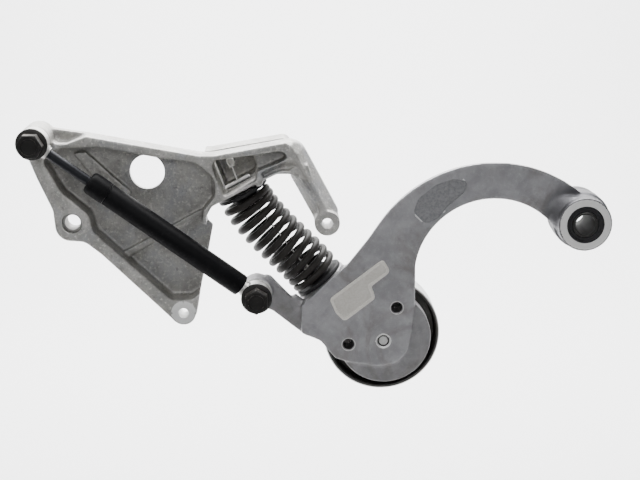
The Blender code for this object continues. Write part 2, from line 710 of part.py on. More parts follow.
# ---------------------------------------------------------------- assembly
def build():
    global parts, cutters
    clear_scene()
    parts = new_collection("belt_tensioner_idler")
    cutters = new_collection("cutters")

    aluminium = material("cast_aluminium", (0.45, 0.45, 0.46), 1.0, 0.45)
    black = material("black_steel", (0.02, 0.02, 0.025), 0.6, 0.35)
    spring_black = material("spring_coating", (0.03, 0.028, 0.025), 0.3, 0.5)
    steel = material("bright_steel", (0.6, 0.6, 0.62), 1.0, 0.3)
    zinc = material("zinc_plate", (0.7, 0.69, 0.66), 1.0, 0.35)
    brass = material("brass", (0.6, 0.42, 0.18), 1.0, 0.35)
    rubber = material("black_rubber", (0.02, 0.02, 0.02), 0.0, 0.7)
    plastic = material("black_plastic", (0.03, 0.03, 0.03), 0.0, 0.5)

    bracket_casting(aluminium)
    mounting_sleeve(zinc)
    flange_bolt("damper_top_bolt", DAMPER_TOP, -2.0, 0, black)
    inner_sleeve("damper_top_sleeve", DAMPER_TOP, 6.5, steel)
    spring_seat("spring_top_seat", SHELF_SEAT, shelf_axis(), 8.0, plastic)
    coil_spring(spring_black)
    limiter = limiter_pieces(zinc)

    arm_axis = axis_empty("arm_axis", PIVOT, -15.0)
    bushes, _sleeve = pivot_bushes(rubber, plastic, steel)
    on_arm = bushes + [
        arm_casting(aluminium),
        flange_bolt("damper_bottom_bolt", DAMPER_BOTTOM, -5.5, 30, black),
        inner_sleeve("damper_bottom_sleeve", DAMPER_BOTTOM, 6.2, steel),
        spring_seat("spring_lower_seat", ARM_SEAT, arm_seat_axis(), 9.6, plastic),
        limiter[2]]
    spinning, inner_ring = bearing(steel, brass, rubber)
    on_arm += [inner_ring] + pulley_fixings(steel)
    for piece in on_arm:
        hang_on(piece, arm_axis)

    pulley_axis = axis_empty("pulley_axis", PULLEY, BEARING_MID)
    for piece in spinning + [pulley_wheel(steel)]:
        hang_on(piece, pulley_axis)
    hang_on(pulley_axis, arm_axis)

    rod_axis = axis_empty("damper_axis", DAMPER_TOP, DAMPER_Y)
    top_eye = damper_eye("damper_top_eye", DAMPER_TOP, DAMPER_BOTTOM, 12.1, 4.5, zinc)
    rod_side = [top_eye, rubber_bush("top_rubber_bush", DAMPER_TOP, 6.8, rubber)]
    for piece in rod_side + rod_pieces(steel, brass):
        hang_on(piece, rod_axis)
    bottom_eye = damper_eye("damper_bottom_eye", DAMPER_BOTTOM, DAMPER_TOP, 12.1, 5.0, zinc)
    tube_side = [bottom_eye, rubber_bush("bottom_rubber_bush", DAMPER_BOTTOM, 7.3, rubber)]
    tube_side += tube_pieces(black, steel, rubber, brass)
    for piece in tube_side:
        hang_on(piece, rod_axis)
    bpy.context.view_layer.update()


build()
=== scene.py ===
import math

import bmesh
import bpy
from mathutils import Matrix, Vector


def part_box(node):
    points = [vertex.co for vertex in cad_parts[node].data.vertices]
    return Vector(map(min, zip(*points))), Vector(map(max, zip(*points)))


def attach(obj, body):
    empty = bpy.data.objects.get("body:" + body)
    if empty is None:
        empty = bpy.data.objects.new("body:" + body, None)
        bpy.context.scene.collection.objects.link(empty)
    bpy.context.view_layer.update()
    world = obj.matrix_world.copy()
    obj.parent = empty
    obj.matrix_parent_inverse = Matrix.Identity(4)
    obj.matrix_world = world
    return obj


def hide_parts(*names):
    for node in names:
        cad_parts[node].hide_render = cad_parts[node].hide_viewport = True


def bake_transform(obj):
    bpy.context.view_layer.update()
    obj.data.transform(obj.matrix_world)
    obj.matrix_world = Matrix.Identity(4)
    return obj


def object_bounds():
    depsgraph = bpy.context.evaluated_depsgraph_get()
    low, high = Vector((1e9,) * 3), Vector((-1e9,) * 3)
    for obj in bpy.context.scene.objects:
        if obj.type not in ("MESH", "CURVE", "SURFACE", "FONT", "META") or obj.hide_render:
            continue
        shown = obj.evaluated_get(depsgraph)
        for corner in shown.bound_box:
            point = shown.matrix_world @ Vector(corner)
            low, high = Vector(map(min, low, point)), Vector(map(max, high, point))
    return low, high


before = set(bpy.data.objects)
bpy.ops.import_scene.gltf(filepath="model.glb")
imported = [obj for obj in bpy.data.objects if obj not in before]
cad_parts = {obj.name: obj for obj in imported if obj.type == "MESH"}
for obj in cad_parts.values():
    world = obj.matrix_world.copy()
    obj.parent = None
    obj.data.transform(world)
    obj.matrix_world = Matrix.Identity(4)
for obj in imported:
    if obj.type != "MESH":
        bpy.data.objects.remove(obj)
cad_low, cad_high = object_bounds()

# ------------------------------------------------------------------ the view
# A long lens a little above the part and square to its front, on a plain pale sweep.  One
# large soft box hangs overhead, one washes the backdrop, and three weak ones fill in from
# the left, the right and beside the lens.
camera = bpy.data.objects.new("camera", bpy.data.cameras.new("camera"))
bpy.context.scene.collection.objects.link(camera)
bpy.context.scene.camera = camera
camera.location = (0.14262, -0.89095, 0.20834)
look_at = Vector((0.1703, -0.019, -0.0129))
camera.rotation_euler = (look_at - camera.location).to_track_quat("-Z", "Y").to_euler()
camera.data.lens = 73.125
camera.data.sensor_width = 36
camera.data.clip_start = 0.05


def soft_box(name, place, aim, width, height, watts):
    """A rectangular area light at place, pointed at aim."""
    light = bpy.data.lights.new(name, "AREA")
    light.shape = "RECTANGLE"
    light.size = width
    light.size_y = height
    light.energy = watts
    holder = bpy.data.objects.new(name, light)
    bpy.context.scene.collection.objects.link(holder)
    holder.location = place
    holder.rotation_euler = (Vector(aim) - Vector(place)).to_track_quat("-Z", "Y").to_euler()


middle = (cad_low + cad_high) / 2
soft_box("overhead_box", (0.2, 0.2, 0.9), (0.17, 0.1, 0), 1.4, 0.8, 26)
soft_box("backdrop_wash", (0.2, 1.0, 1.3), (0.2, 1.9, -0.5), 2.4, 0.6, 170)
soft_box("left_box", (-0.9, -0.5, 0.6), middle, 0.5, 0.6, 3)
soft_box("right_box", (1.0, 0.1, 0.35), middle, 0.4, 0.8, 0.6)
soft_box("lens_fill", (0.1, -1.5, 0.7), middle, 0.8, 0.4, 5)

world = bpy.data.worlds.new("studio_air")
bpy.context.scene.world = world
world.use_nodes = True
world.node_tree.nodes["Background"].inputs["Color"].default_value = (0.93, 0.95, 1.0, 1)
world.node_tree.nodes["Background"].inputs["Strength"].default_value = 0.30


class Wire:
    """One socket of a material's nodes; sums on it add Math nodes."""

    def __init__(self, paint, socket):
        self.paint = paint
        self.socket = socket

    def sum_with(self, operation, first, second):
        """A Math node's result."""
        return self.paint.node("ShaderNodeMath", {"operation": operation}, {0: first, 1: second})

    def __add__(self, other):
        return self.sum_with("ADD", self, other)

    def __radd__(self, other):
        return self.sum_with("ADD", other, self)

    def __sub__(self, other):
        return self.sum_with("SUBTRACT", self, other)

    def __rsub__(self, other):
        return self.sum_with("SUBTRACT", other, self)

    def __mul__(self, other):
        return self.sum_with("MULTIPLY", self, other)

    def __rmul__(self, other):
        return self.sum_with("MULTIPLY", other, self)

    def over(self, other):
        """The larger of the two."""
        return self.sum_with("MAXIMUM", self, other)

    def step(self, low, high):
        """0 below low, 1 above high and a smooth rise between."""
        return self.paint.node("ShaderNodeMapRange", {"interpolation_type": "SMOOTHSTEP"},
                               {"Value": self, "From Min": low, "From Max": high})


class Paint:
    """A material: its nodes are made by node(), its fixed values are set on the shader."""

    def __init__(self, name, **fixed):
        self.material = bpy.data.materials.new(name)
        self.material.use_nodes = True
        self.tree = self.material.node_tree
        self.shader = self.tree.nodes["Principled BSDF"]
        for socket, value in fixed.items():
            self.shader.inputs[socket.replace("_", " ").title().replace("Ior", "IOR")].default_value = value
        self.place = self.node("ShaderNodeTexCoord", {}, {}, "Object")

    def node(self, kind, settings, inputs, output=0):
        """Add a node: its settings first, then the values or wires of its sockets."""
        made = self.tree.nodes.new(kind)
        for setting, value in settings.items():
            setattr(made, setting, value)
        for socket, value in inputs.items():
            if isinstance(value, Wire):
                self.tree.links.new(value.socket, made.inputs[socket])
            else:
                made.inputs[socket].default_value = value
        return Wire(self, made.outputs[output])

    def noise(self, scale, detail=3.0, roughness=0.55, place=None, distortion=0.0):
        """Fractal noise on the object's own coordinates, scale per metre."""
        return self.node("ShaderNodeTexNoise", {}, {
            "Vector": place or self.place, "Scale": scale, "Detail": detail,
            "Roughness": roughness, "Distortion": distortion})

    def blend(self, share, first, second):
        """From the first colour at 0 to the second at 1."""
        inputs = {0: share, 6: first, 7: second}
        for key in (6, 7):
            if isinstance(inputs[key], tuple) and len(inputs[key]) == 3:
                inputs[key] = (*inputs[key], 1.0)
        return self.node("ShaderNodeMix", {"data_type": "RGBA", "clamp_factor": True}, inputs, 2)

    def facing(self, axis):
        """How far the surface faces along an axis, from -1 to 1."""
        normal = self.node("ShaderNodeNewGeometry", {}, {}, "Normal")
        return self.node("ShaderNodeVectorMath", {"operation": "DOT_PRODUCT"},
                         {0: normal, 1: axis}, "Value")

    def edges(self, low, high):
        """1 on outside corners, from the mesh's own pointiness."""
        point = self.node("ShaderNodeNewGeometry", {}, {}, "Pointiness")
        return point.step(low, high)

    def ray_gap(self, centre):
        """Distance from an axis along Y through centre, all in metres."""
        apart = self.node("ShaderNodeVectorMath", {"operation": "SUBTRACT"},
                          {0: self.place, 1: (centre[0], 0, centre[1])})
        flat = self.node("ShaderNodeVectorMath", {"operation": "MULTIPLY"},
                         {0: apart, 1: (1, 0, 1)})
        return self.node("ShaderNodeVectorMath", {"operation": "LENGTH"}, {0: flat}, "Value")

    def depth(self):
        """The place along Y, in metres."""
        return self.node("ShaderNodeSeparateXYZ", {}, {0: self.place}, "Y")

    def bump(self, height, distance, strength=1.0):
        """Dents in the surface: height from 0 to 1 stands for so many metres."""
        normal = self.node("ShaderNodeBump", {}, {
            "Strength": strength, "Distance": distance, "Height": height})
        self.feed("Normal", normal)

    def feed(self, socket, wire):
        """Lead a wire to one of the shader's sockets."""
        self.tree.links.new(wire.socket, self.shader.inputs[socket])


# The sweep is grey paper in front of the part, so that the castings' lower sides stay dark,
# and white paper behind it.
SWEEP_FRONT = -2.5
SWEEP_TURN = 1.2
SWEEP_RADIUS = 0.9
SWEEP_STEPS = 16
SWEEP_SIDES = (-3.0, 3.4)
sweep_mesh = bpy.data.meshes.new("studio_sweep")
floor_z = cad_low.z - 0.38
profile = [(SWEEP_FRONT, floor_z)]
for step in range(SWEEP_STEPS + 1):
    angle = math.radians(90 * step / SWEEP_STEPS)
    profile.append((SWEEP_TURN + SWEEP_RADIUS * math.sin(angle),
                    floor_z + SWEEP_RADIUS * (1 - math.cos(angle))))
profile.append((SWEEP_TURN + SWEEP_RADIUS, floor_z + 3.0))
sweep_points = [(x, y, z) for y, z in profile for x in SWEEP_SIDES]
sweep_mesh.from_pydata(sweep_points, [], [
    (2 * index, 2 * index + 1, 2 * index + 3, 2 * index + 2) for index in range(len(profile) - 1)])
sweep_mesh.shade_smooth()
sweep = bpy.data.objects.new("studio_sweep", sweep_mesh)
bpy.context.scene.collection.objects.link(sweep)
paper = Paint("matt_white_paper", roughness=0.9, specular_ior_level=0.1)
behind = paper.depth().step(-0.1, 0.45)
paper.feed("Base Color", paper.blend(behind, (0.42, 0.42, 0.42), (0.92, 0.92, 0.92)))
sweep_mesh.materials.append(paper.material)


# ------------------------------------------------------------------ bracket casting
# The fixed half of the tensioner: a die-cast aluminium bracket with a ribbed web, a raised
# rim, a deep box that holds the top of the spring and three bosses that bolt to the engine.
# Its skin is as cast, with soft corners; the bores and the bolt seats are machined after.
MM = 0.001


def corner_arcs(corners, steps=6):
    """An outline in (x, z) mm from (x, z, corner radius) points."""
    outline = []
    for index, (x, z, radius) in enumerate(corners):
        here = Vector((x, z))
        back = Vector(corners[index - 1][:2]) - here
        ahead = Vector(corners[(index + 1) % len(corners)][:2]) - here
        turn = back.angle(ahead)
        if radius <= 0 or turn > math.radians(178):
            outline.append(here)
            continue
        reach = min(radius / math.tan(turn / 2), 0.48 * back.length, 0.48 * ahead.length)
        bisector = (back.normalized() + ahead.normalized()).normalized()
        centre = here + bisector * (reach / math.cos(turn / 2))
        first = here + back.normalized() * reach - centre
        side = 1 if first.cross(here - centre) > 0 else -1
        for step in range(steps + 1):
            angle = side * (math.pi - turn) * step / steps
            outline.append(centre + Matrix.Rotation(angle, 2) @ first)
    return outline


def new_piece(name, work):
    """An object from a bmesh whose points are in metres."""
    mesh = bpy.data.meshes.new(name)
    bmesh.ops.recalc_face_normals(work, faces=work.faces)
    work.to_mesh(mesh)
    work.free()
    piece = bpy.data.objects.new(name, mesh)
    bpy.context.scene.collection.objects.link(piece)
    return piece


def slab(work, outline, front, back, draft=0.0):
    """Add an outline extruded along Y; draft widens the back face by so many mm."""
    centre = sum(outline, Vector((0, 0))) / len(outline)
    grown = [point + (point - centre).normalized() * draft for point in outline]
    wedge(work, outline, front, grown, back)


def wedge(work, outline, front, far_outline, back):
    """Add a solid between an outline at one depth and a like one at another."""
    near = [work.verts.new((point[0] * MM, front * MM, point[1] * MM)) for point in outline]
    far = [work.verts.new((point[0] * MM, back * MM, point[1] * MM)) for point in far_outline]
    count = len(near)
    work.faces.new(near)
    work.faces.new(far[::-1])
    for index in range(count):
        after = (index + 1) % count
        work.faces.new((near[after], near[index], far[index], far[after]))


def lathe(work, profile, spot, axis=(0, 1, 0), steps=48):
    """Add a turned solid: (radius, height) points in mm, heights along axis from spot."""
    turn = Vector(axis).to_track_quat("Z", "Y").to_matrix()
    origin = Vector(spot)
    closed = profile[0][0] > 0
    rings = []
    for radius, height in profile:
        if radius <= 0:
            rings.append([work.verts.new((origin + turn @ Vector((0, 0, height))) * MM)])
            continue
        ring = []
        for step in range(steps):
            angle = 2 * math.pi * step / steps
            around = Vector((radius * math.cos(angle), radius * math.sin(angle), height))
            ring.append(work.verts.new((origin + turn @ around) * MM))
        rings.append(ring)
    pairs = list(zip(rings, rings[1:]))
    if closed:
        pairs.append((rings[-1], rings[0]))
    for one, two in pairs:
        for step in range(steps):
            after = (step + 1) % steps
            if len(one) == 1:
                work.faces.new((one[0], two[step], two[after]))
            elif len(two) == 1:
                work.faces.new((one[step], one[after], two[0]))
            else:
                work.faces.new((one[step], one[after], two[after], two[step]))


def drum(work, centre, radius, front, back, steps=48):
    """Add a plain round boss along Y."""
    lathe(work, [(0, front), (radius, front), (radius, back), (0, back)],
          (centre[0], 0, centre[1]), steps=steps)


def carve(piece, work, solver="EXACT"):
    """Cut a bmesh's solids out of a piece and apply the cut."""
    tool = new_piece(piece.name + "_tool", work)
    step = piece.modifiers.new("carve", "BOOLEAN")
    step.operation = "DIFFERENCE"
    step.solver = solver
    step.object = tool
    step.use_self = solver == "EXACT"
    apply_steps(piece)
    bpy.data.objects.remove(tool, do_unlink=True)


def keep_within(piece, work):
    """Keep only what lies inside a bmesh's solid and apply the cut."""
    tool = new_piece(piece.name + "_tool", work)
    step = piece.modifiers.new("trim", "BOOLEAN")
    step.operation = "INTERSECT"
    step.object = tool
    apply_steps(piece)
    bpy.data.objects.remove(tool, do_unlink=True)


def apply_steps(piece):
    """Keep what the modifiers make as the piece's own mesh."""
    bpy.context.view_layer.update()
    graph = bpy.context.evaluated_depsgraph_get()
    made = bpy.data.meshes.new_from_object(piece.evaluated_get(graph))
    piece.modifiers.clear()
    piece.data = made


def cast_skin(piece, voxel, rounds):
    """Melt all the overlapping solids of a piece into one soft-cornered casting."""
    melt = piece.modifiers.new("melt", "REMESH")
    melt.mode = "VOXEL"
    melt.voxel_size = voxel * MM
    relax = piece.modifiers.new("relax", "SMOOTH")
    relax.factor = 0.5
    relax.iterations = rounds
    apply_steps(piece)


def shade(piece, paint, degrees=35):
    """Give the piece its material, with smooth shading split at sharp corners."""
    piece.data.materials.clear()
    piece.data.materials.append(paint.material)
    piece.data.shade_smooth()
    piece.data.set_sharp_from_angle(angle=math.radians(degrees))


def settle(piece, paint, body, slot, *nodes, degrees=35):
    """Shade a finished piece, hang it under its body and hide the CAD nodes it stands for; slot is not
    used.
    """
    shade(piece, paint, degrees)
    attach(piece, body)
    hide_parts(*nodes)


def middle_of(node):
    """The middle of a CAD node in mm, to a tenth."""
    low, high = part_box(node)
    return Vector([round(value / MM, 1) for value in (low + high) / 2])


def axis_of(node):
    """Where the axis of a node that is turned about Y stands, as (x, z) in mm."""
    middle_point = middle_of(node)
    return (round(middle_point.x, 1), round(middle_point.z, 1))


LEFT_BORE = axis_of("mounting_sleeve")
LOWER_BORE = (74.8, -65.0)
RIGHT_BORE = (175.4, -1.2)
WEB_HOLE = (51.2, 33.1)
NUB = (128.5, 27.7)
DAMPER_TOP = axis_of("damper_top_bolt")
RIM_FRONT = -19.0
PLATE_BACK = -1.0
WEB_FRONT = -4.5
BOX_FLOOR = 25.0
BOX_BACK = 28.5
BOX_FRONT = -9.0
CORE_FRONT = RIM_FRONT - 6
CUT_FRONT = -40.0
CUT_BACK = 20.0
CORNER_FLOOR = -7.0
END_FLOOR = -10.0
VALLEY_FLOOR = -14.2
CHAMFER_BACK = -9.0
RIB_FRONT = -7.6
RIB_BACK = -3.0
CAST_VOXEL = 0.8
CAST_ROUNDS = 4

work = bmesh.new()
slab(work, corner_arcs([
    (-27, 66.5, 4), (12, 60.5, 30), (93, 45.8, 40), (156.3, 57.1, 13), (183.4, 6, 3),
    (181, -7, 3), (168.8, -6, 2), (169.2, 10, 2), (152.5, 33.6, 9), (141, 33.6, 8),
    (127.0, 26.8, 3), (104.5, 15.4, 3), (96, 11, 5), (91.6, 3, 2), (92.4, -1.5, 1),
    (96, -4.7, 1), (92.6, -22, 20), (87, -48, 6), (84, -66, 2), (70, -72.5, 2),
    (19, -22, 25), (8, -13.2, 10), (-11, -12, 11), (-12.6, 9, 14), (-22.4, 31.6, 20),
    (-31.5, 56, 4)]), RIM_FRONT, PLATE_BACK)
bracket = new_piece("cast_bracket", work)

# Pockets that the die's cores leave: the web, the corner beside the top boss, and the box
# with its shallow end.
web_pocket = corner_arcs([
    (-18.5, 44, 5), (-8, 52.5, 9), (20, 53.3, 20), (62, 45.4, 20), (86, 42.5, 16),
    (98.6, 30, 12), (98.6, 18, 4), (90.2, 7.5, 4), (89.6, -1.3, 0), (104, -3, 0),
    (104, -50, 0), (88, -50, 3), (81, -55.5, 4), (67, -56, 4), (24.5, -16.5, 20),
    (13.8, -6, 8), (11.6, 5.5, 8), (-6.6, 21.5, 20)])
corner_pocket = corner_arcs([
    (-13, 62.5, 3), (-10, 55.5, 5), (-2, 55.2, 6), (12, 60.5, 12), (20, 66, 1), (-12, 70, 1)])
box_pocket = corner_arcs([
    (104.6, 17.4, 2), (96.8, 38, 3), (98.0, 43.2, 2), (125.0, 46.8, 2), (127.8, 36.0, 3),
    (126.6, 29.2, 2)])
end_pocket = corner_arcs([
    (121.5, 46.4, 0), (144.2, 50.2, 5), (149.6, 45.6, 3), (144.5, 41.6, 4), (128.3, 35.6, 2),
    (121.5, 34, 0)])
work = bmesh.new()
slab(work, web_pocket, CORE_FRONT, WEB_FRONT, -1.0)
slab(work, corner_pocket, CORE_FRONT, CORNER_FLOOR)
slab(work, end_pocket, CORE_FRONT, END_FLOOR, -1.5)
carve(bracket, work)

# The leg is a shallow valley between a lip and a ridge, with a wide chamfer outside the ridge.
lip_line = [Vector(spot) for spot in (
    (131.5, 30.5), (138, 34), (144.5, 36), (150.5, 35.5), (158, 29.5), (164, 21.5), (170, 11))]
ridge_line = [Vector(spot) for spot in (
    (129.5, 35.5), (138, 39.5), (147.5, 45.5), (154, 44), (160, 33.5), (165, 24), (171, 12))]
valley_foot = [low + (high - low) * 0.3 for low, high in zip(lip_line, ridge_line)]
chamfer_top = [(143, 58), (150.5, 52.5), (154, 47), (157, 41), (160.5, 34), (165.5, 25), (178, 2)]
chamfer_foot = [(146, 59), (153.5, 57), (159.5, 50.5), (163, 44), (167, 37), (172, 28.5), (185.5, 2.5)]
chamfer_out = [(150, 75), (165, 70), (175, 60), (180, 52), (185, 42), (190, 32), (204, 5)]
work = bmesh.new()
wedge(work, lip_line + ridge_line[::-1], RIM_FRONT - 0.1,
      lip_line + valley_foot[::-1], VALLEY_FLOOR)
wedge(work, chamfer_top + chamfer_out[::-1], RIM_FRONT - 0.3,
      chamfer_foot + chamfer_out[::-1], CHAMFER_BACK)
carve(bracket, work)

# The spring box reaches far behind the plate, and its pocket is cut through the plate too.
work = bmesh.new()
slab(work, corner_arcs([
    (89.5, 45.5, 3), (93, 44.9, 10), (150, 54.8, 6), (152, 38, 4), (140.5, 36.2, 8),
    (127.0, 24.6, 3), (104.4, 12.7, 3), (96.5, 14, 4), (95.5, 32, 6)]), BOX_FRONT, BOX_BACK)
box = new_piece("spring_box", work)
work = bmesh.new()
slab(work, box_pocket, CORE_FRONT, BOX_FLOOR, -1.2)
carve(box, work)
work = bmesh.new()
slab(work, box_pocket, CORE_FRONT, 5)
carve(bracket, work)

# Ribs, bosses and pads, all melted into one skin with the body.
work = bmesh.new()
work.from_mesh(bracket.data)
work.from_mesh(box.data)
bpy.data.objects.remove(box, do_unlink=True)
wedge(work, [(150, 37), (154.5, 33.5), (159.5, 26), (168.5, 9.5), (174, 4), (162, 40)], -17.0,
      [(148.5, 36), (150.5, 28), (158.5, 13.5), (167, -2.5), (174, 2), (162, 40)], -1.4)
for rib in ([(1.5, 47, 1), (9.8, 47.6, 1), (40, 19, 1), (36, 10, 1), (13.5, 31, 1)],
            [(33, -23.5, 1), (97, 11.6, 1), (94, 6.5, 1), (36, -27.4, 1)]):
    slab(work, corner_arcs(rib), RIB_FRONT, RIB_BACK)
drum(work, NUB, 2.6, RIM_FRONT - 0.8, BOX_BACK - 1.5)
for centre, radius, front in ((DAMPER_TOP, 10.6, -23.7), (LOWER_BORE, 8.6, -19.6),
                              (RIGHT_BORE, 8.8, -19.6), (LEFT_BORE, 10.9, -18.5)):
    drum(work, centre, radius, front, 0)
bpy.data.objects.remove(bracket, do_unlink=True)
bracket = new_piece("cast_bracket", work)
cast_skin(bracket, CAST_VOXEL, CAST_ROUNDS)

# The die's ejector pins leave shallow round marks on the rim.
work = bmesh.new()
pin_mark = [(0, RIM_FRONT - 3), (2.1, RIM_FRONT - 3), (2.1, RIM_FRONT + 0.1), (1.8, RIM_FRONT + 0.4),
            (0, RIM_FRONT + 0.3)]
for x, z in ((-20.3, 45.5), (-14.6, 29), (2, -6.5), (33.5, -31), (60, 49.8), (91.5, 21), (148, 52.5)):
    lathe(work, pin_mark, (x, 0, z), steps=24)
carve(bracket, work, "MANIFOLD")

# Machined after casting: the back faces, the bores, their seats and the hole in the web.
work = bmesh.new()
slab(work, [Vector(spot) for spot in ((-60, -100), (210, -100), (210, 100), (-60, 100))], 0, 8)
carve(bracket, work, "MANIFOLD")
work = bmesh.new()
for centre, radius in ((LEFT_BORE, 7.1), (LOWER_BORE, 3.6), (RIGHT_BORE, 3.8), (DAMPER_TOP, 5.3)):
    drum(work, centre, radius, CUT_FRONT, CUT_BACK)
drum(work, WEB_HOLE, 12.0, CUT_FRONT, CUT_BACK, 64)
carve(bracket, work, "MANIFOLD")
work = bmesh.new()
lathe(work, [(0, RIM_FRONT - 3), (9.4, RIM_FRONT - 3), (9.4, RIM_FRONT - 0.4), (8.6, RIM_FRONT),
             (0, RIM_FRONT)], (LOWER_BORE[0], 0, LOWER_BORE[1]))
carve(bracket, work, "MANIFOLD")


def inside_outline(point, outline):
    """Whether a point is within an outline, by counting the edges to its right."""
    within = False
    for one, two in zip(outline, outline[1:] + outline[:1]):
        if (one.y > point.y) != (two.y > point.y):
            crossing = one.x + (point.y - one.y) * (two.x - one.x) / (two.y - one.y)
            within ^= point.x < crossing
    return within


# Mark the skin of the pockets for painted shade, which darkens them below the rim.
pockets = (web_pocket, corner_pocket, box_pocket, end_pocket)
pocket_shade_mask = bracket.data.attributes.new("pocket_shade_mask", "FLOAT", "POINT")
for vert in bracket.data.vertices:
    spot = Vector((vert.co.x, vert.co.z)) / MM
    y = vert.co.y / MM
    in_plate = RIM_FRONT + 0.5 < y < PLATE_BACK - 0.6
    in_box = y > 3 and vert.normal.y < -0.2
    if (in_plate or in_box) and any(inside_outline(spot, found) for found in pockets):
        pocket_shade_mask.data[vert.index].value = 1.0


def cast_aluminium(name, face, dark, cool, pads, pocket_shade=0.0, shine=0.4, coarse=1.0, dark_round=None, dull_y=None):
    """As-cast aluminium: mottled grey skin, fine grain, painted highlights along the edges, and bright
    machined pads.

    The share after pads darkens the pockets with painted shade, where the mesh's own pocket
    values are 1; shine how bright the machined pads are; coarse how speckled the skin is;
    the next is a centre and two radii in mm, round which the colour darkens and fades out
    between the radii; all that lies behind dull_y is duller."""
    paint = Paint(name, metallic=1.0)
    clouds = paint.noise(55, 4, 0.6, distortion=0.6)
    grain = paint.noise(1500, 2, 0.7)
    speckle = paint.noise(480, 3, 0.75)
    pits = paint.noise(310, 4, 0.75, distortion=0.4)
    flow = paint.noise(22, 4, 0.65, distortion=1.6)
    colour = paint.blend(clouds.step(0.32, 0.68), dark, face)
    colour = paint.blend(flow.step(0.45, 0.70) * 0.7, colour, cool)
    colour = paint.blend(speckle.step(0.50, 0.72) * 0.55 * coarse, colour, tuple(c * 1.7 for c in face))
    colour = paint.blend(pits.step(0.54, 0.74) * 0.6 * coarse, colour, tuple(c * 0.45 for c in dark))
    # Painted shade: the marked pockets are darkened towards near black.
    if pocket_shade:
        pocket_shade_mask = paint.node("ShaderNodeAttribute", {"attribute_name": "pocket_shade_mask"}, {}, "Fac")
        colour = paint.blend(pocket_shade_mask * pocket_shade, colour, (0.085, 0.082, 0.078))
    if dull_y is not None:
        behind = paint.depth().step((dull_y - 0.5) * MM, (dull_y + 0.3) * MM)
        colour = paint.blend(behind * 0.32, colour, (0.12, 0.116, 0.11))
    # A round patch about the given centre is darkened, fading out between the two radii.
    if dark_round:
        darkening = 1 - paint.ray_gap((dark_round[0][0] * MM, dark_round[0][1] * MM)).step(dark_round[1] * MM, dark_round[2] * MM)
        colour = paint.blend(darkening * 0.85, colour, (0.075, 0.075, 0.08))
    # Painted highlight: outside corners are lightened nearly to white.
    colour = paint.blend(paint.edges(0.53, 0.60) * 0.8, colour, (0.86, 0.86, 0.85))
    machined = None
    for centre, radius in pads:
        ring = 1 - paint.ray_gap((centre[0] * MM, centre[1] * MM)).step((radius - 0.3) * MM, radius * MM)
        machined = ring if machined is None else machined.over(ring)
    along_y = paint.facing((0, 1, 0))
    turned = machined * (along_y * along_y).step(0.9, 0.97)
    lathe_lines = paint.noise(1.0, 2, 0.5, place=paint.node(
        "ShaderNodeCombineXYZ", {}, {"X": paint.ray_gap((pads[0][0][0] * MM, pads[0][0][1] * MM)) * 2600}))
    bright = paint.blend(lathe_lines, (0.72, 0.71, 0.69), (0.98, 0.97, 0.95))
    colour = paint.blend(turned * shine, colour, bright)
    paint.feed("Base Color", colour)
    paint.feed("Metallic", 1 - turned * shine * 0.65)
    rough = 0.44 + clouds * 0.14 + grain * 0.08 - turned * (0.16 * shine)
    paint.feed("Roughness", rough)
    paint.bump(grain * 0.4 + speckle * (0.9 * coarse) - pits * (0.8 * coarse) + clouds * 0.8, 0.0003, 0.8)
    return paint


settle(bracket, cast_aluminium(
    "bracket_aluminium", (0.52, 0.51, 0.485), (0.35, 0.343, 0.325), (0.42, 0.427, 0.445),
    [(LEFT_BORE, 10.6), (LOWER_BORE, 8.4), (RIGHT_BORE, 8.6), (DAMPER_TOP, 10.4)],
    pocket_shade=0.22, shine=0.1),
    "bracket", "cast_aluminium", "bracket_casting", degrees=40)


# ------------------------------------------------------------------ arm casting
# The moving half: one gravity-cast aluminium arm with a curved neck, a flat face that
# carries the pulley on a stub behind it, an ear for the damper, a round platform for the
# spring and a tube for the pivot.  Blue-grey smooth skin, ends of the tube faced off.
PIVOT = axis_of("pivot_inner_sleeve")
PULLEY = axis_of("pulley")
DAMPER_BOTTOM = axis_of("damper_bottom_bolt")
NECK_CENTRE = Vector((290.5, -38.3))
SPRING_Y = 5.0
ARM_SEAT = (171.0, -47.7)
ARM_TILT = math.radians(38.7)
SHELF_SEAT = (116.1, 17.9)
SHELF_TILT = math.radians(27.6)
ARM_FRONT = -22.0
ARM_BACK = -7.0
DOWELS = ((190.3, -88.2), (224.1, -61.6))
arm_up = Vector((-math.sin(ARM_TILT), 0, math.cos(ARM_TILT)))
shelf_down = Vector((math.sin(SHELF_TILT), 0, -math.cos(SHELF_TILT)))
arm_seat = Vector((ARM_SEAT[0], SPRING_Y, ARM_SEAT[1]))
shelf_seat = Vector((SHELF_SEAT[0], SPRING_Y, SHELF_SEAT[1]))


def neck_arc(offset, first, last, count, outer=True):
    """Points along the neck's outer or inner edge, moved in by offset mm, in degrees."""
    found = []
    for step in range(count + 1):
        degrees = first + (last - first) * step / count
        radius = 77.0 + 0.00185 * (degrees - 88) ** 2 - offset if outer else 54.3 + offset
        angle = math.radians(degrees)
        found.append(NECK_CENTRE + radius * Vector((math.cos(angle), math.sin(angle))))
    return found


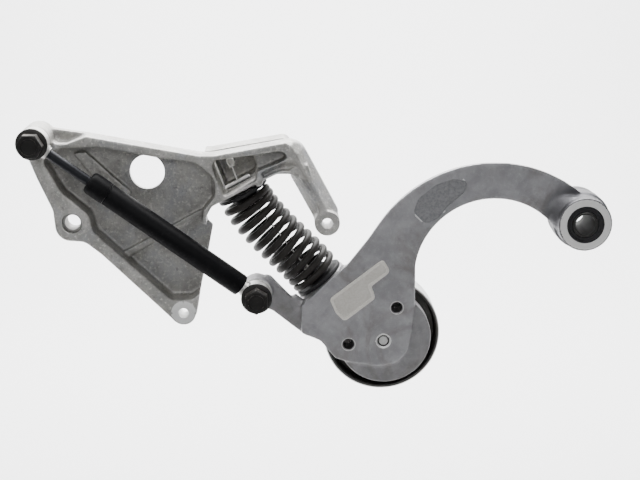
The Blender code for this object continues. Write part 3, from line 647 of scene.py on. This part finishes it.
work = bmesh.new()
face = [(205.1, -14.3, 20), (191, -32.5, 8), (185.2, -37.6, 2), (157.4, -59.9, 1),
        (157.2, -79.8, 2), (170.5, -85.4, 8), (181, -98.5, 4), (191, -101.6, 8),
        (211.3, -105.2, 16), (224.9, -102.6, 10), (232.3, -94.0, 10), (234.9, -78.1, 20),
        (236.8, -58.0, 10)]
inner_edge = neck_arc(0, 172, 34, 44, False)
neck_end = neck_arc(0, 156, 156, 1)[0]
lower_face = corner_arcs([(*neck_end, 0)] + face + [(*inner_edge[0], 0)])[1:-1]
flare = [point + (Vector((-1.9, 2.3)) if point.y > -39 else Vector((0, 0))) for point in lower_face]
wedge(work, neck_arc(-2.8, 30, 156, 42) + flare + inner_edge, ARM_FRONT,
      neck_arc(0, 30, 156, 42) + lower_face + inner_edge, ARM_BACK)
drum(work, (215.7, -84.2), 33.0, -20, ARM_BACK, 96)
slab(work, corner_arcs([
    (124, -41.5, 1), (135, -39.5, 5), (150, -55.5, 8), (162, -62, 1), (162, -84.5, 1),
    (149, -74.2, 8), (137, -64.5, 8), (124, -59.5, 1)]), -16.5, -8.5)
drum(work, DAMPER_BOTTOM, 11.0, -23.4, -8.0)
lathe(work, [(0, -7), (17.5, -7), (19.2, -5.5), (19.2, 0), (0, 0)], arm_seat, arm_up, 64)
slab(work, corner_arcs([
    (162, -60, 2), (188, -39, 2), (199, -38, 3), (180, -62, 4), (168, -72, 4)]), -9, 12)
lathe(work, [(0, -8), (10.6, -8), (10.6, 0.7), (8.2, 0.7), (8.2, 13.3), (0, 13.3)],
      (PULLEY[0], 0, PULLEY[1]), steps=64)
lathe(work, [(0, -34), (18.2, -34), (18.5, -33.6), (18.5, -2.6), (19.5, -1.8), (19.5, 3.5),
             (0, 3.5)], (PIVOT[0], 0, PIVOT[1]), steps=96)
# The neck swells over the tube, and a nib stands at the end of the platform.
SWELL_STEPS = 45
turns = [Matrix.Rotation(2 * math.pi * step / SWELL_STEPS, 2) @ Vector((1, 0))
         for step in range(SWELL_STEPS)]
wedge(work, [Vector(PIVOT) + turn * 17.6 for turn in turns], -30.5,
      [Vector((338, 7)) + turn * 11.6 for turn in turns], -20.5)
drum(work, PIVOT, 20.0, ARM_FRONT + 1, ARM_BACK, 64)
lathe(work, [(0, -6), (5.5, -6), (4.5, 1.8), (0, 1.8)], (151.5, -12.2, -57.6), arm_up, 24)
arm = new_piece("cast_arm", work)

work = bmesh.new()
hollow = neck_arc(5, 62, 150, 24) + neck_arc(5, 150, 62, 24, False)
slab(work, hollow, -14.5, -3, 1.0)
carve(arm, work)
work = bmesh.new()
work.from_mesh(arm.data)
bpy.data.objects.remove(arm, do_unlink=True)
for degrees in (84, 106, 128):
    spoke = math.radians(degrees)
    along = Vector((math.cos(spoke), math.sin(spoke)))
    side = Vector((-along.y, along.x)) * 1.3
    near = NECK_CENTRE + along * 56
    far = NECK_CENTRE + along * 76
    slab(work, [near - side, far - side, far + side, near + side], -15, -7.4)
arm = new_piece("cast_arm", work)
cast_skin(arm, CAST_VOXEL, CAST_ROUNDS)

# The kidney on the neck where the foundry's plate sat is sunk half a millimetre.
kidney_edge = corner_arcs([
    (234.5, 7, 4), (237.5, 16.5, 8), (250, 26.5, 12), (262, 30.3, 6), (272.5, 28.5, 4),
    (269, 20.5, 6), (258, 11, 12), (252, 2.5, 8), (243, -1.5, 5)], 10)
work = bmesh.new()
slab(work, kidney_edge, ARM_FRONT - 3, ARM_FRONT + 0.9)
carve(arm, work, "MANIFOLD")
work = bmesh.new()
lathe(work, [(0, -40), (12.9, -40), (12.9, 10), (0, 10)], (PIVOT[0], 0, PIVOT[1]), steps=96)
for spot in DOWELS:
    lathe(work, [(0, -30), (4.5, -30), (4.5, ARM_FRONT + 0.1), (3.9, ARM_FRONT + 0.7), (3.9, 5), (0, 5)],
          (spot[0], 0, spot[1]))
lathe(work, [(0, -30), (5.0, -30), (5.0, ARM_FRONT), (4.2, ARM_FRONT + 0.8), (4.2, 20), (0, 20)],
      (PULLEY[0], 0, PULLEY[1]))
drum(work, DAMPER_BOTTOM, 5.3, -40, 5)
carve(arm, work, "MANIFOLD")

settle(arm, cast_aluminium(
    "arm_aluminium", (0.42, 0.415, 0.43), (0.31, 0.307, 0.318), (0.24, 0.225, 0.215),
    [(PIVOT, 18.6), (DAMPER_BOTTOM, 10.8), (DOWELS[0], 5.0), (DOWELS[1], 5.0), (PULLEY, 5.6)],
    shine=0.95, coarse=0.3, dark_round=(PIVOT, 21, 34), dull_y=-20.8),
    "arm", "cast_aluminium", "arm_casting", degrees=40)

# Raised sand-textured flag on the face, where the foundry's mark was: here it is plain.
work = bmesh.new()
flag = corner_arcs([
    (176.9, -54.6, 3), (181.2, -64.8, 8), (187.5, -71.2, 3), (208.8, -54.5, 3), (207.6, -49.8, 2),
    (205.9, -45.8, 2), (219.4, -35.2, 3.5), (214.0, -26.6, 4), (210.6, -28.6, 4)], 8)
slab(work, flag, ARM_FRONT - 0.45, ARM_FRONT + 0.4, 0.3)
pad = new_piece("arm_mark_pad", work)
work = bmesh.new()
slab(work, corner_arcs([
    (179.6, -55.3, 2), (182.9, -63.5, 7), (187.6, -68.3, 2), (206.4, -53.6, 2), (205.2, -50.0, 2),
    (202.9, -45.0, 2), (216.9, -34.6, 2.2), (213.3, -29.2, 2.5), (211.4, -30.4, 2.5)], 8),
    ARM_FRONT - 3, ARM_FRONT - 0.15)
carve(pad, work)
soften = pad.modifiers.new("soften", "BEVEL")
soften.width = 0.25 * MM
soften.segments = 2
apply_steps(pad)


def sandy(name, low, high, grit_size, depth, floor_y=None):
    """The rough skin that loose sand leaves on a cast pad, darker on the floor behind floor_y."""
    sand = Paint(name, metallic=0.75)
    grit = sand.noise(grit_size, 3, 0.7)
    stain = sand.noise(90, 3, 0.6)
    colour = sand.blend(grit.step(0.3, 0.7) * 0.7 + stain * 0.3, low, high)
    if floor_y is not None:
        floor = sand.depth().step((floor_y - 0.15) * MM, floor_y * MM)
        colour = sand.blend(floor * (0.1 + stain * 0.4), colour, tuple(c * 0.6 for c in low))
    sand.feed("Base Color", colour)
    sand.feed("Roughness", 0.5 + stain * 0.2)
    sand.bump(grit * 0.7 + stain * 0.5, depth, 0.8)
    return sand


settle(pad, sandy("pale_sandy_pad", (0.66, 0.63, 0.58), (0.82, 0.80, 0.75), 800, 0.0002, ARM_FRONT - 0.25),
       "arm", "cast_aluminium", degrees=50)
work = bmesh.new()
slab(work, kidney_edge, ARM_FRONT + 0.5, ARM_FRONT + 1.6, 0.6)
kidney = new_piece("arm_sunk_pad", work)
settle(kidney, sandy("dark_sandy_pad", (0.20, 0.20, 0.207), (0.32, 0.32, 0.33), 520, 0.0004),
       "arm", "cast_aluminium", degrees=50)


# ------------------------------------------------------------------ pivot
# The arm turns on two plain bushes with lip seals, pressed in the tube, about a steel
# sleeve that the pivot bolt clamps to the engine.  The black rubber face shows in front.
def turned_piece(name, profile, centre, steps=64):
    """A turned piece on an axis along Y: (radius, y) points in mm."""
    work = bmesh.new()
    lathe(work, profile, (centre[0], 0, centre[1]), steps=steps)
    return new_piece(name, work)


def metal(name, base, rough, scratch=0.12, tint=None, ring_centre=None, ring_pitch=0.35, shade_radii=None):
    """Machined steel: fine turning lines round an axis, faint haze and corners lightened towards white.

    The last argument holds the radii in mm between which painted shade darkens it."""
    paint = Paint(name, metallic=1.0)
    haze = paint.noise(70, 3, 0.6)
    fine = paint.noise(1800, 2, 0.6)
    if ring_centre:
        lines = paint.noise(1.0 / (ring_pitch * MM), 2, 0.5, place=paint.node(
            "ShaderNodeCombineXYZ", {}, {"X": paint.ray_gap((ring_centre[0] * MM, ring_centre[1] * MM)),
                                         "Y": paint.depth() * 0.4}))
    else:
        lines = fine
    colour = paint.blend(haze.step(0.3, 0.7), base, tint or tuple(c * 0.8 for c in base))
    colour = paint.blend(paint.edges(0.52, 0.6) * 0.7, colour, (0.85, 0.85, 0.84))
    # Painted shade: the band between the two radii is darkened nearly to black.
    if shade_radii:
        away = paint.ray_gap((ring_centre[0] * MM, ring_centre[1] * MM))
        band_shade = away.step((shade_radii[0] - 1) * MM, shade_radii[0] * MM) * (
            1 - away.step(shade_radii[1] * MM, (shade_radii[1] + 0.4) * MM))
        colour = paint.blend(band_shade * 0.9, colour, (0.05, 0.047, 0.043))
    paint.feed("Base Color", colour)
    paint.feed("Roughness", rough + haze * scratch + lines * 0.1)
    paint.bump(lines * 0.7 + fine * 0.3, 0.00006, 0.6)
    return paint


def black(name, base, rough, scale=900, metallic=0.0, wear=0.0, wear_colour=(0.35, 0.33, 0.3), gloss=0.25):
    """Black rubber, plastic or paint with a fine grain, dust in the dips and worn edges."""
    paint = Paint(name, metallic=metallic, specular_ior_level=gloss)
    grain = paint.noise(scale, 3, 0.65)
    dust = paint.noise(60, 4, 0.6)
    colour = paint.blend(dust.step(0.45, 0.8) * 0.35, base, tuple(min(c * 2.2 + 0.004, 1) for c in base))
    if wear:
        rubbed = paint.edges(0.53, 0.6) * wear * grain.step(0.3, 0.6)
        colour = paint.blend(rubbed, colour, wear_colour)
    paint.feed("Base Color", colour)
    paint.feed("Roughness", rough + dust * 0.15)
    paint.bump(grain, 0.00012, 0.5)
    return paint


sleeve = turned_piece("pivot_sleeve", [
    (7.4, -34.3), (8.3, -34.3), (8.7, -33.9), (8.7, 3.8), (8.3, 4.2), (7.4, 4.2), (7.0, 3.8),
    (7.0, -33.9)], PIVOT)
# The sleeve's bore is painted near black as painted shade deep in the hole, mottled a little; its ends and
# outside are dark grey steel.
sleeve_steel = Paint("sleeve_steel")
bore_mottle = sleeve_steel.noise(160, 3, 0.6)
inside = 1 - sleeve_steel.ray_gap((PIVOT[0] * MM, PIVOT[1] * MM)).step(7.3 * MM, 8.0 * MM)
bore_shade = sleeve_steel.blend(bore_mottle, (0.006, 0.006, 0.005), (0.02, 0.019, 0.017))
sleeve_steel.feed("Base Color", sleeve_steel.blend(inside, (0.045, 0.044, 0.042), bore_shade))
sleeve_steel.feed("Metallic", 0.7 - inside * 0.7)
sleeve_steel.feed("Roughness", 0.35 + inside * 0.4 + bore_mottle * 0.1)
sleeve_steel.bump(bore_mottle, 0.0001, 0.5)
settle(sleeve, sleeve_steel, "bracket", "bright_steel", "pivot_inner_sleeve")
seal_rubber = black("seal_rubber", (0.018, 0.018, 0.019), 0.55)
bush_plastic = black("bush_plastic", (0.03, 0.03, 0.032), 0.45, 600)
for name, start, end in (("pivot_front_seal", -33.8, -31.6), ("pivot_rear_seal", 1.2, 3.3)):
    outward = start if start < 0 else end
    inward = end if start < 0 else start
    step = 0.45 if start < 0 else -0.45
    seal = turned_piece(name + "_skin", [
        (8.95, inward), (8.95, outward + step), (9.3, outward + step * 0.3), (10.2, outward + step),
        (10.9, outward + step), (11.5, outward), (12.3, outward), (12.5, outward + step * 0.4),
        (12.5, inward)], PIVOT, 72)
    settle(seal, seal_rubber, "arm", "black_rubber", name)
for name, start, end in (("pivot_front_bush", -31.2, -16.0), ("pivot_rear_bush", -14.0, 0.8)):
    bush = turned_piece(name + "_skin", [
        (8.95, start + 0.4), (9.35, start), (12.1, start), (12.5, start + 0.4), (12.5, end - 0.4),
        (12.1, end), (9.35, end), (8.95, end - 0.4)], PIVOT, 72)
    settle(bush, bush_plastic, "arm", "black_plastic", name)
collar = turned_piece("left_sleeve", [
    (5.6, -15.0), (6.5, -15.0), (6.8, -14.7), (6.8, -1.3), (6.5, -1.0), (5.6, -1.0), (5.3, -1.3),
    (5.3, -14.7)], LEFT_BORE)
zinc = metal("zinc_plate", (0.52, 0.51, 0.48), 0.34, tint=(0.42, 0.41, 0.38))
worn_zinc = metal("worn_zinc_plate", (0.24, 0.23, 0.21), 0.5, tint=(0.12, 0.11, 0.10))
settle(collar, worn_zinc, "bracket", "zinc_plated_steel", "mounting_sleeve")


# ------------------------------------------------------------------ flange bolts
# Two M10 flange bolts with a dished hexagon head hold the damper's eyes.  They are
# forged and blackened, and the wrench has rubbed the corners of the hexagon bright.
HEX_RADIUS = 15.0 / math.sqrt(3)
HEAD_FRONT = -46.0
FLANGE_BACK = -35.2
THREAD_PITCH = 1.5
bolt_black = black("blackened_bolt", (0.016, 0.015, 0.014), 0.45, 700, metallic=0.3, wear=0.35,
                   wear_colour=(0.42, 0.38, 0.33))


def hexagon(centre, radius, turn=0):
    """The corners of a hexagon, turned by so many degrees."""
    return [Vector((centre[0] + radius * math.cos(math.radians(60 * side + turn)),
                    centre[1] + radius * math.sin(math.radians(60 * side + turn)))) for side in range(6)]


def flange_bolt(name, centre, tip, turn, node, body):
    """A dished hexagon head on a flange, turned by so many degrees, and a threaded shank."""
    spot = (centre[0], 0, centre[1])
    work = bmesh.new()
    slab(work, hexagon(centre, HEX_RADIUS, turn), HEAD_FRONT, FLANGE_BACK - 1.6)
    head = new_piece(name + "_head", work)
    work = bmesh.new()
    lathe(work, [(0, HEAD_FRONT), (7.1, HEAD_FRONT), (9.4, HEAD_FRONT + 1.3), (9.4, FLANGE_BACK - 0.8),
                 (0, FLANGE_BACK - 0.8)], spot)
    keep_within(head, work)
    work = bmesh.new()
    lathe(work, [(0, HEAD_FRONT - 2), (5.6, HEAD_FRONT - 2), (5.6, HEAD_FRONT), (5.2, HEAD_FRONT + 0.8),
                 (4.4, HEAD_FRONT + 1.1), (0, HEAD_FRONT + 1.4)], spot)
    carve(head, work)
    ease = head.modifiers.new("ease", "BEVEL")
    ease.width = 0.22 * MM
    ease.segments = 2
    ease.limit_method = "ANGLE"
    ease.angle_limit = math.radians(20)
    apply_steps(head)
    work = bmesh.new()
    work.from_mesh(head.data)
    bpy.data.objects.remove(head, do_unlink=True)
    thread = []
    y = -20.0
    while y < tip - 1.6:
        thread += [(5.0, y), (5.0, y + 0.2), (4.25, y + 0.75), (4.25, y + 0.9)]
        y += THREAD_PITCH
    lathe(work, [(0, -38.2), (7.4, -38.2), (8.2, -37.9), (10.2, -36.7), (10.6, -36.3), (10.7, -35.9),
                 (10.7, -35.5), (10.4, -35.2), (5, -35.2)] + thread
          + [(5.0, tip - 1.2), (4.0, tip), (0, tip)], spot, steps=56)
    bolt = new_piece(name, work)
    settle(bolt, bolt_black, body, "black_coated_steel", node)


flange_bolt("top_flange_bolt", DAMPER_TOP, -2.0, 60, "damper_top_bolt", "bracket")
flange_bolt("bottom_flange_bolt", DAMPER_BOTTOM, -5.5, 30, "damper_bottom_bolt", "arm")


# ------------------------------------------------------------------ damper
# A small oil damper: a plated rod slides into a black-painted tube through a rolled end
# cap.  Each end is a plated eye with a rubber bush and a steel sleeve round its bolt.
DAMPER_Y = -29.5
top_eye = Vector((DAMPER_TOP[0], DAMPER_Y, DAMPER_TOP[1]))
bottom_eye = Vector((DAMPER_BOTTOM[0], DAMPER_Y, DAMPER_BOTTOM[1]))
damper_axis = (bottom_eye - top_eye).normalized()
damper_black = black("damper_paint", (0.003, 0.003, 0.0035), 0.40, 500, wear=0.1,
                     wear_colour=(0.05, 0.05, 0.055), gloss=0.09)
rod_steel = black("blued_rod", (0.016, 0.017, 0.020), 0.32, 600, metallic=0.5)


def on_damper(name, profile, steps=56):
    """Turned on the damper's axis; heights are mm from the top eye."""
    work = bmesh.new()
    lathe(work, profile, top_eye, damper_axis, steps)
    return new_piece(name, work)


def eye(name, centre, towards, stub, node, body):
    """A formed ring, crowned a little, on a short welded stub."""
    work = bmesh.new()
    lathe(work, [(8.9, -34.5), (9.2, -34.8), (10.0, -34.8), (10.4, -34.3), (10.4, -24.7),
                 (10.0, -24.2), (9.2, -24.2), (8.9, -24.5)], (centre.x, 0, centre.z), steps=64)
    lathe(work, [(0, 9.2), (stub + 0.9, 9.6), (stub + 0.2, 11.0), (stub, 12.1), (0, 12.1)],
          centre, towards, 40)
    ring = new_piece(name, work)
    settle(ring, zinc, body, "zinc_plated_steel", node)


eye("top_eye", top_eye, damper_axis, 4.5, "damper_top_eye", "damper_rod")
eye("bottom_eye", bottom_eye, -damper_axis, 5.0, "damper_bottom_eye", "damper_tube")
for name, centre, inner, body in (("top_rubber_bush", top_eye, 6.8, "damper_rod"),
                                  ("bottom_rubber_bush", bottom_eye, 7.3, "damper_tube")):
    rubber = turned_piece(name + "_skin", [
        (inner, -34.2), (inner + 0.6, -34.5), (8.2, -34.1), (8.6, -33.6), (8.6, -25.4), (8.2, -24.9),
        (inner + 0.6, -24.5), (inner, -24.8)], (centre.x, centre.z), 48)
    settle(rubber, seal_rubber, body, "black_rubber", name)
for name, centre, outer, body in (("damper_top_sleeve", top_eye, 6.5, "bracket"),
                                  ("damper_bottom_sleeve", bottom_eye, 6.2, "arm")):
    tube = turned_piece(name + "_skin", [
        (5.5, -34.8), (outer - 0.2, -34.8), (outer, -34.6), (outer, -24.2), (outer - 0.2, -24.0),
        (5.5, -24.0), (5.3, -24.2), (5.3, -34.6)], (centre.x, centre.z), 48)
    settle(tube, zinc, body, "bright_steel", name)

rod = on_damper("damper_rod_skin", [
    (0, 12.4), (3.0, 12.4), (3.4, 12.8), (3.4, 117.6), (3.0, 118.4), (0, 118.4)])
settle(rod, rod_steel, "damper_rod", "bright_steel", "piston_rod")
cap = on_damper("rolled_end_cap", [
    (3.9, 50.3), (3.9, 45.0), (4.4, 44.4), (5.6, 44.3), (6.9, 44.9), (7.7, 46.1), (8.0, 47.8),
    (8.0, 57.9), (7.75, 58.2), (7.75, 58.6), (8.0, 58.9), (7.9, 59.3), (7.0, 59.4), (7.0, 50.3)])
settle(cap, damper_black, "damper_tube", "black_coated_steel", "damper_end_cap")
tube = on_damper("damper_tube_skin", [
    (0, 59.7), (7.5, 59.7), (7.7, 60.0), (7.7, 168.4), (7.3, 169.9), (6.2, 170.5), (0, 170.5)], 64)
settle(tube, damper_black, "damper_tube", "black_coated_steel", "damper_tube")


# ------------------------------------------------------------------ coil spring
# One wire, 5.1 mm thick, coiled to 38 mm outside and coated dark grey-brown.  It bows a
# little because its seats aren't parallel, and its last turns close up at both ends.
WIRE = 2.55
COIL = 16.4
TURNS = 10.5
CLOSE_PITCH = 6.0
CLOSE_TURNS_TOP = 1.0
CLOSE_TURNS_LOWER = 1.8
COIL_LENGTH = 74.0
SEAT_STACK = 2.4 + WIRE + 1.0
AROUND_WIRE = 16
PER_TURN = 44


def coil_share(turn):
    """Share of the coil's length reached after so many turns; the end turns lie close."""
    close = CLOSE_PITCH / COIL_LENGTH
    close_turns = CLOSE_TURNS_TOP + CLOSE_TURNS_LOWER
    open_turns = TURNS - close_turns
    opened = min(max(turn - CLOSE_TURNS_TOP, 0), open_turns)
    return (turn - opened) * close + opened * (1 - close_turns * close) / open_turns


def spring_line(share):
    """Centreline of the coil, square to both seats: a cubic between them."""
    first = shelf_seat + shelf_down * SEAT_STACK
    last = arm_seat + arm_up * SEAT_STACK
    pull = (last - first).length
    cube = share ** 3
    square = share ** 2
    return (first * (2 * cube - 3 * square + 1) + shelf_down * pull * (cube - 2 * square + share)
            + last * (3 * square - 2 * cube) - arm_up * pull * (cube - square))


def coil_point(turn):
    """A point of the wire's own centreline after so many turns."""
    share = coil_share(turn)
    ahead = spring_line(min(share + 0.01, 1)) - spring_line(max(share - 0.01, 0))
    across = Vector((0, 1, 0))
    side = ahead.normalized().cross(across).normalized()
    angle = 2 * math.pi * turn
    return spring_line(share) + (side * math.cos(angle) - across * math.sin(angle)) * COIL


def sweep_tube(work, route, radius, around=12):
    """A round wire along a list of points in mm, with rounded-off ends."""
    rings = []
    for index, point in enumerate(route):
        ahead = route[min(index + 1, len(route) - 1)] - route[max(index - 1, 0)]
        frame_turn = ahead.to_track_quat("Z", "Y").to_matrix()
        if rings:
            bend = ahead.normalized().rotation_difference(last_ahead).to_matrix()
            frame_turn = bend.inverted() @ last_turn
        last_ahead = ahead.normalized()
        last_turn = frame_turn
        thin = 0.8 if index in (0, len(route) - 1) else 1.0
        rings.append([work.verts.new((point + frame_turn @ Vector((
            math.cos(2 * math.pi * step / around) * radius * thin,
            math.sin(2 * math.pi * step / around) * radius * thin, 0))) * MM) for step in range(around)])
    for one, two in zip(rings, rings[1:]):
        for step in range(around):
            after = (step + 1) % around
            work.faces.new((one[step], one[after], two[after], two[step]))
    work.faces.new(rings[0][::-1])
    work.faces.new(rings[-1])


work = bmesh.new()
count = int(TURNS * PER_TURN)
sweep_tube(work, [coil_point(TURNS * index / count) for index in range(count + 1)], WIRE, AROUND_WIRE)
spring = new_piece("coil_spring_wire", work)
spring_paint = black("spring_coating", (0.018, 0.016, 0.014), 0.42, 800, wear=0.2,
                     wear_colour=(0.10, 0.09, 0.08))
shade(spring, spring_paint, 60)
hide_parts("coil_spring")
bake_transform(spring)

seat_plastic = black("seat_plastic", (0.02, 0.02, 0.021), 0.5, 700)
for name, spot, axis, height, body in (
        ("spring_top_seat", shelf_seat, shelf_down, 8.0, "bracket"),
        ("spring_lower_seat", arm_seat, arm_up, 9.6, "arm")):
    work = bmesh.new()
    lathe(work, [(3.6, 0.3), (3.6, height - 0.2), (4.0, height), (8.4, height), (9.2, height - 0.5),
                 (9.7, height - 1.6), (9.8, 3.4), (10.4, 2.7), (18.2, 2.6), (18.6, 2.2), (18.6, 0.7),
                 (18.2, 0.3)], spot, axis, 64)
    seat = new_piece(name + "_skin", work)
    settle(seat, seat_plastic, body, "black_plastic", name)


# ------------------------------------------------------------------ travel limiter
# A thin steel cable through the middle of the spring keeps the arm from dropping when
# no belt holds it.  A toggle bar rests on the shelf, and each end of the cable is crimped.
tab_at = Vector((109.6, SPRING_Y, 34.6))
toggle_at = middle_of("limiter_toggle")
ferrule_at = Vector((160.6, SPRING_Y, -38.2))
cable_down = (ferrule_at - toggle_at).normalized()
tab_up = (tab_at - toggle_at).normalized()
bar_along = Vector((math.cos(SHELF_TILT), 0, math.sin(SHELF_TILT)))
work = bmesh.new()
lathe(work, [(0, -9.7), (1.1, -9.7), (1.6, -9.2), (1.6, 9.2), (1.1, 9.7), (0, 9.7)],
      toggle_at, bar_along, 32)
bar = new_piece("toggle_bar", work)
pale_zinc = metal("pale_zinc", (0.62, 0.61, 0.57), 0.4, tint=(0.5, 0.49, 0.46))
settle(bar, pale_zinc, "bracket", "zinc_plated_steel", "limiter_toggle")
work = bmesh.new()
STRANDS = 3
for strand in range(STRANDS):
    route = []
    for start, end in ((tab_at - tab_up * 0.4, toggle_at), (toggle_at, ferrule_at - cable_down * 3.4)):
        run = end - start
        across = run.normalized().cross(Vector((0, 1, 0)))
        steps = int(run.length / 0.6)
        for index in range(steps + (1 if end is not toggle_at else 0)):
            twist = 2 * math.pi * (index * 0.6 / 5.0 + strand / STRANDS)
            route.append(start + run * index / steps
                         + (across * math.cos(twist) + Vector((0, 1, 0)) * math.sin(twist)) * 0.28)
    sweep_tube(work, route, 0.3, 6)
cable = new_piece("limiter_cable_strands", work)
shade(cable, pale_zinc, 60)
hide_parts("limiter_cable")
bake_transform(cable)
work = bmesh.new()
lathe(work, [(0, -3.0), (1.8, -3.0), (2.3, -2.6), (2.3, -1.2), (1.9, -0.8), (1.9, 0.8), (2.3, 1.2),
             (2.3, 2.8), (1.8, 3.2), (0, 3.2)], ferrule_at, cable_down, 32)
ferrule = new_piece("lower_ferrule_skin", work)
settle(ferrule, pale_zinc, "arm", "zinc_plated_steel", "lower_ferrule")
work = bmesh.new()
lathe(work, [(0, 0), (1.6, 0), (1.9, 0.4), (2.5, 2.2), (2.6, 3.2), (2.5, 5.4), (1.9, 6.3), (0, 6.5)],
      tab_at, tab_up, 24)
for vert in work.verts:
    lift = (vert.co / MM - tab_at).dot(tab_up)
    if lift > 1.6:
        vert.co.y = (SPRING_Y + (vert.co.y / MM - SPRING_Y) * 0.45) * MM
tab = new_piece("cable_end_tab_skin", work)
settle(tab, pale_zinc, "bracket", "zinc_plated_steel", "cable_end_tab")


# ------------------------------------------------------------------ idler pulley
# A smooth pressed-steel pulley turned on a sealed ball bearing.  The bearing sits on the
# arm's stub, and a bolt from behind clamps its inner ring; the bolt's end shows in front.
pulley = turned_piece("idler_pulley", [
    (41.0, -5.0), (41.5, -4.4), (41.5, 18.4), (41.0, 19.0), (39.4, 19.0), (38.9, 18.5), (38.9, 9.8),
    (37.9, 8.9), (25.4, 8.9), (24.4, 8.4), (24.0, 7.5), (24.0, 13.0), (23.6, 13.5), (20.3, 13.5),
    (20.3, 0.5), (23.6, 0.5), (24.0, 1.0), (24.0, 4.4), (25.4, 5.2), (37.9, 5.2), (38.9, 4.4), (38.9, -4.5),
    (39.4, -5.0)], PULLEY, 128)
# The pulley's web gets painted shade, dark like the gap behind the arm's face.
pulley_steel = metal("pulley_steel", (0.55, 0.54, 0.52), 0.26, ring_centre=PULLEY, tint=(0.40, 0.39, 0.38),
                     shade_radii=(24.5, 40.4))
settle(pulley, pulley_steel, "pulley", "bright_steel", "pulley")

race_steel = metal("race_steel", (0.60, 0.60, 0.60), 0.16, ring_centre=PULLEY)
outer = turned_piece("outer_race", [
    (16.6, 1.3), (16.9, 1.0), (19.6, 1.0), (20.0, 1.4), (20.0, 12.6), (19.6, 13.0), (16.9, 13.0),
    (16.6, 12.7), (16.6, 9.8), (17.4, 9.0), (17.85, 7.6), (17.85, 6.4), (17.4, 5.0),
    (16.6, 4.2)], PULLEY, 96)
settle(outer, race_steel, "pulley", "bright_steel", "bearing_outer_ring")
inner = turned_piece("inner_race", [
    (8.9, 1.0), (11.6, 1.0), (11.9, 1.3), (11.9, 4.2), (11.1, 5.0), (10.65, 6.4), (10.65, 7.6),
    (11.1, 9.0), (11.9, 9.8), (11.9, 12.7), (11.6, 13.0), (8.9, 13.0), (8.5, 12.6), (8.5, 1.4)], PULLEY, 72)
settle(inner, race_steel, "arm", "bright_steel", "bearing_inner_ring")
for name, outward, inward in (("bearing_front_seal", 1.25, 1.95), ("bearing_rear_seal", 12.75, 12.05)):
    way = 1 if inward > outward else -1
    shield = turned_piece(name + "_skin", [
        (12.1, inward), (12.1, outward + way * 0.2), (12.5, outward), (13.4, outward),
        (13.8, outward + way * 0.25), (15.2, outward + way * 0.25), (15.6, outward),
        (16.2, outward), (16.4, outward + way * 0.2), (16.4, inward)], PULLEY, 72)
    settle(shield, seal_rubber, "pulley", "black_rubber", name)
BALLS = 8
for index in range(BALLS):
    angle = 2 * math.pi * index / BALLS
    spot = (PULLEY[0] + 14.25 * math.cos(angle), 7.0, PULLEY[1] + 14.25 * math.sin(angle))
    work = bmesh.new()
    bmesh.ops.create_icosphere(work, subdivisions=3, radius=3.38 * MM,
                               matrix=Matrix.Translation(Vector(spot) * MM))
    ball = new_piece(f"bearing_ball_{index + 1}", work)
    settle(ball, race_steel, "pulley", "bright_steel", f"ball_{index + 1}", degrees=80)

bolt_steel = metal("zinc_bolt", (0.60, 0.60, 0.58), 0.3)
washer = turned_piece("pulley_washer_skin", [
    (4.5, 13.8), (4.7, 13.6), (11.1, 13.6), (11.4, 13.9), (11.4, 15.1), (11.1, 15.4), (4.7, 15.4),
    (4.5, 15.2)], PULLEY)
settle(washer, bolt_steel, "arm", "bright_steel", "pulley_washer")
work = bmesh.new()
slab(work, hexagon(PULLEY, 7.5), 15.7, 21.8)
head = new_piece("pulley_bolt_head", work)
work = bmesh.new()
lathe(work, [(0, 15), (8, 15), (8, 20.9), (6.3, 21.8), (0, 21.8)], (PULLEY[0], 0, PULLEY[1]))
keep_within(head, work)
work = bmesh.new()
work.from_mesh(head.data)
bpy.data.objects.remove(head, do_unlink=True)
lathe(work, [(0, -21.4), (2.9, -21.4), (3.4, -20.8), (3.4, -17.0), (3.8, -16.6), (3.8, 16.5), (0, 16.5)],
      (PULLEY[0], 0, PULLEY[1]), steps=40)
pulley_bolt = new_piece("pulley_bolt_skin", work)
settle(pulley_bolt, bolt_steel, "arm", "bright_steel", "pulley_bolt")


# ------------------------------------------------------------------ parts inside
# What can't be seen without taking it apart keeps its plain working shape: the damper's
# piston, nut, guide, seal, cylinder and valve, and the bearing's cage.
inside_steel = metal("inside_steel", (0.5, 0.5, 0.5), 0.3)
inside_brass = metal("inside_brass", (0.62, 0.46, 0.2), 0.3, tint=(0.55, 0.38, 0.16))
for names, paint in ((("piston", "rod_guide", "inner_cylinder"), inside_steel),
                     (("piston_nut", "base_valve", "ball_cage"), inside_brass),
                     (("rod_seal",), seal_rubber)):
    for name in names:
        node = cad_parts[name]
        for hold in node.material_slots:
            hold.material = paint.material
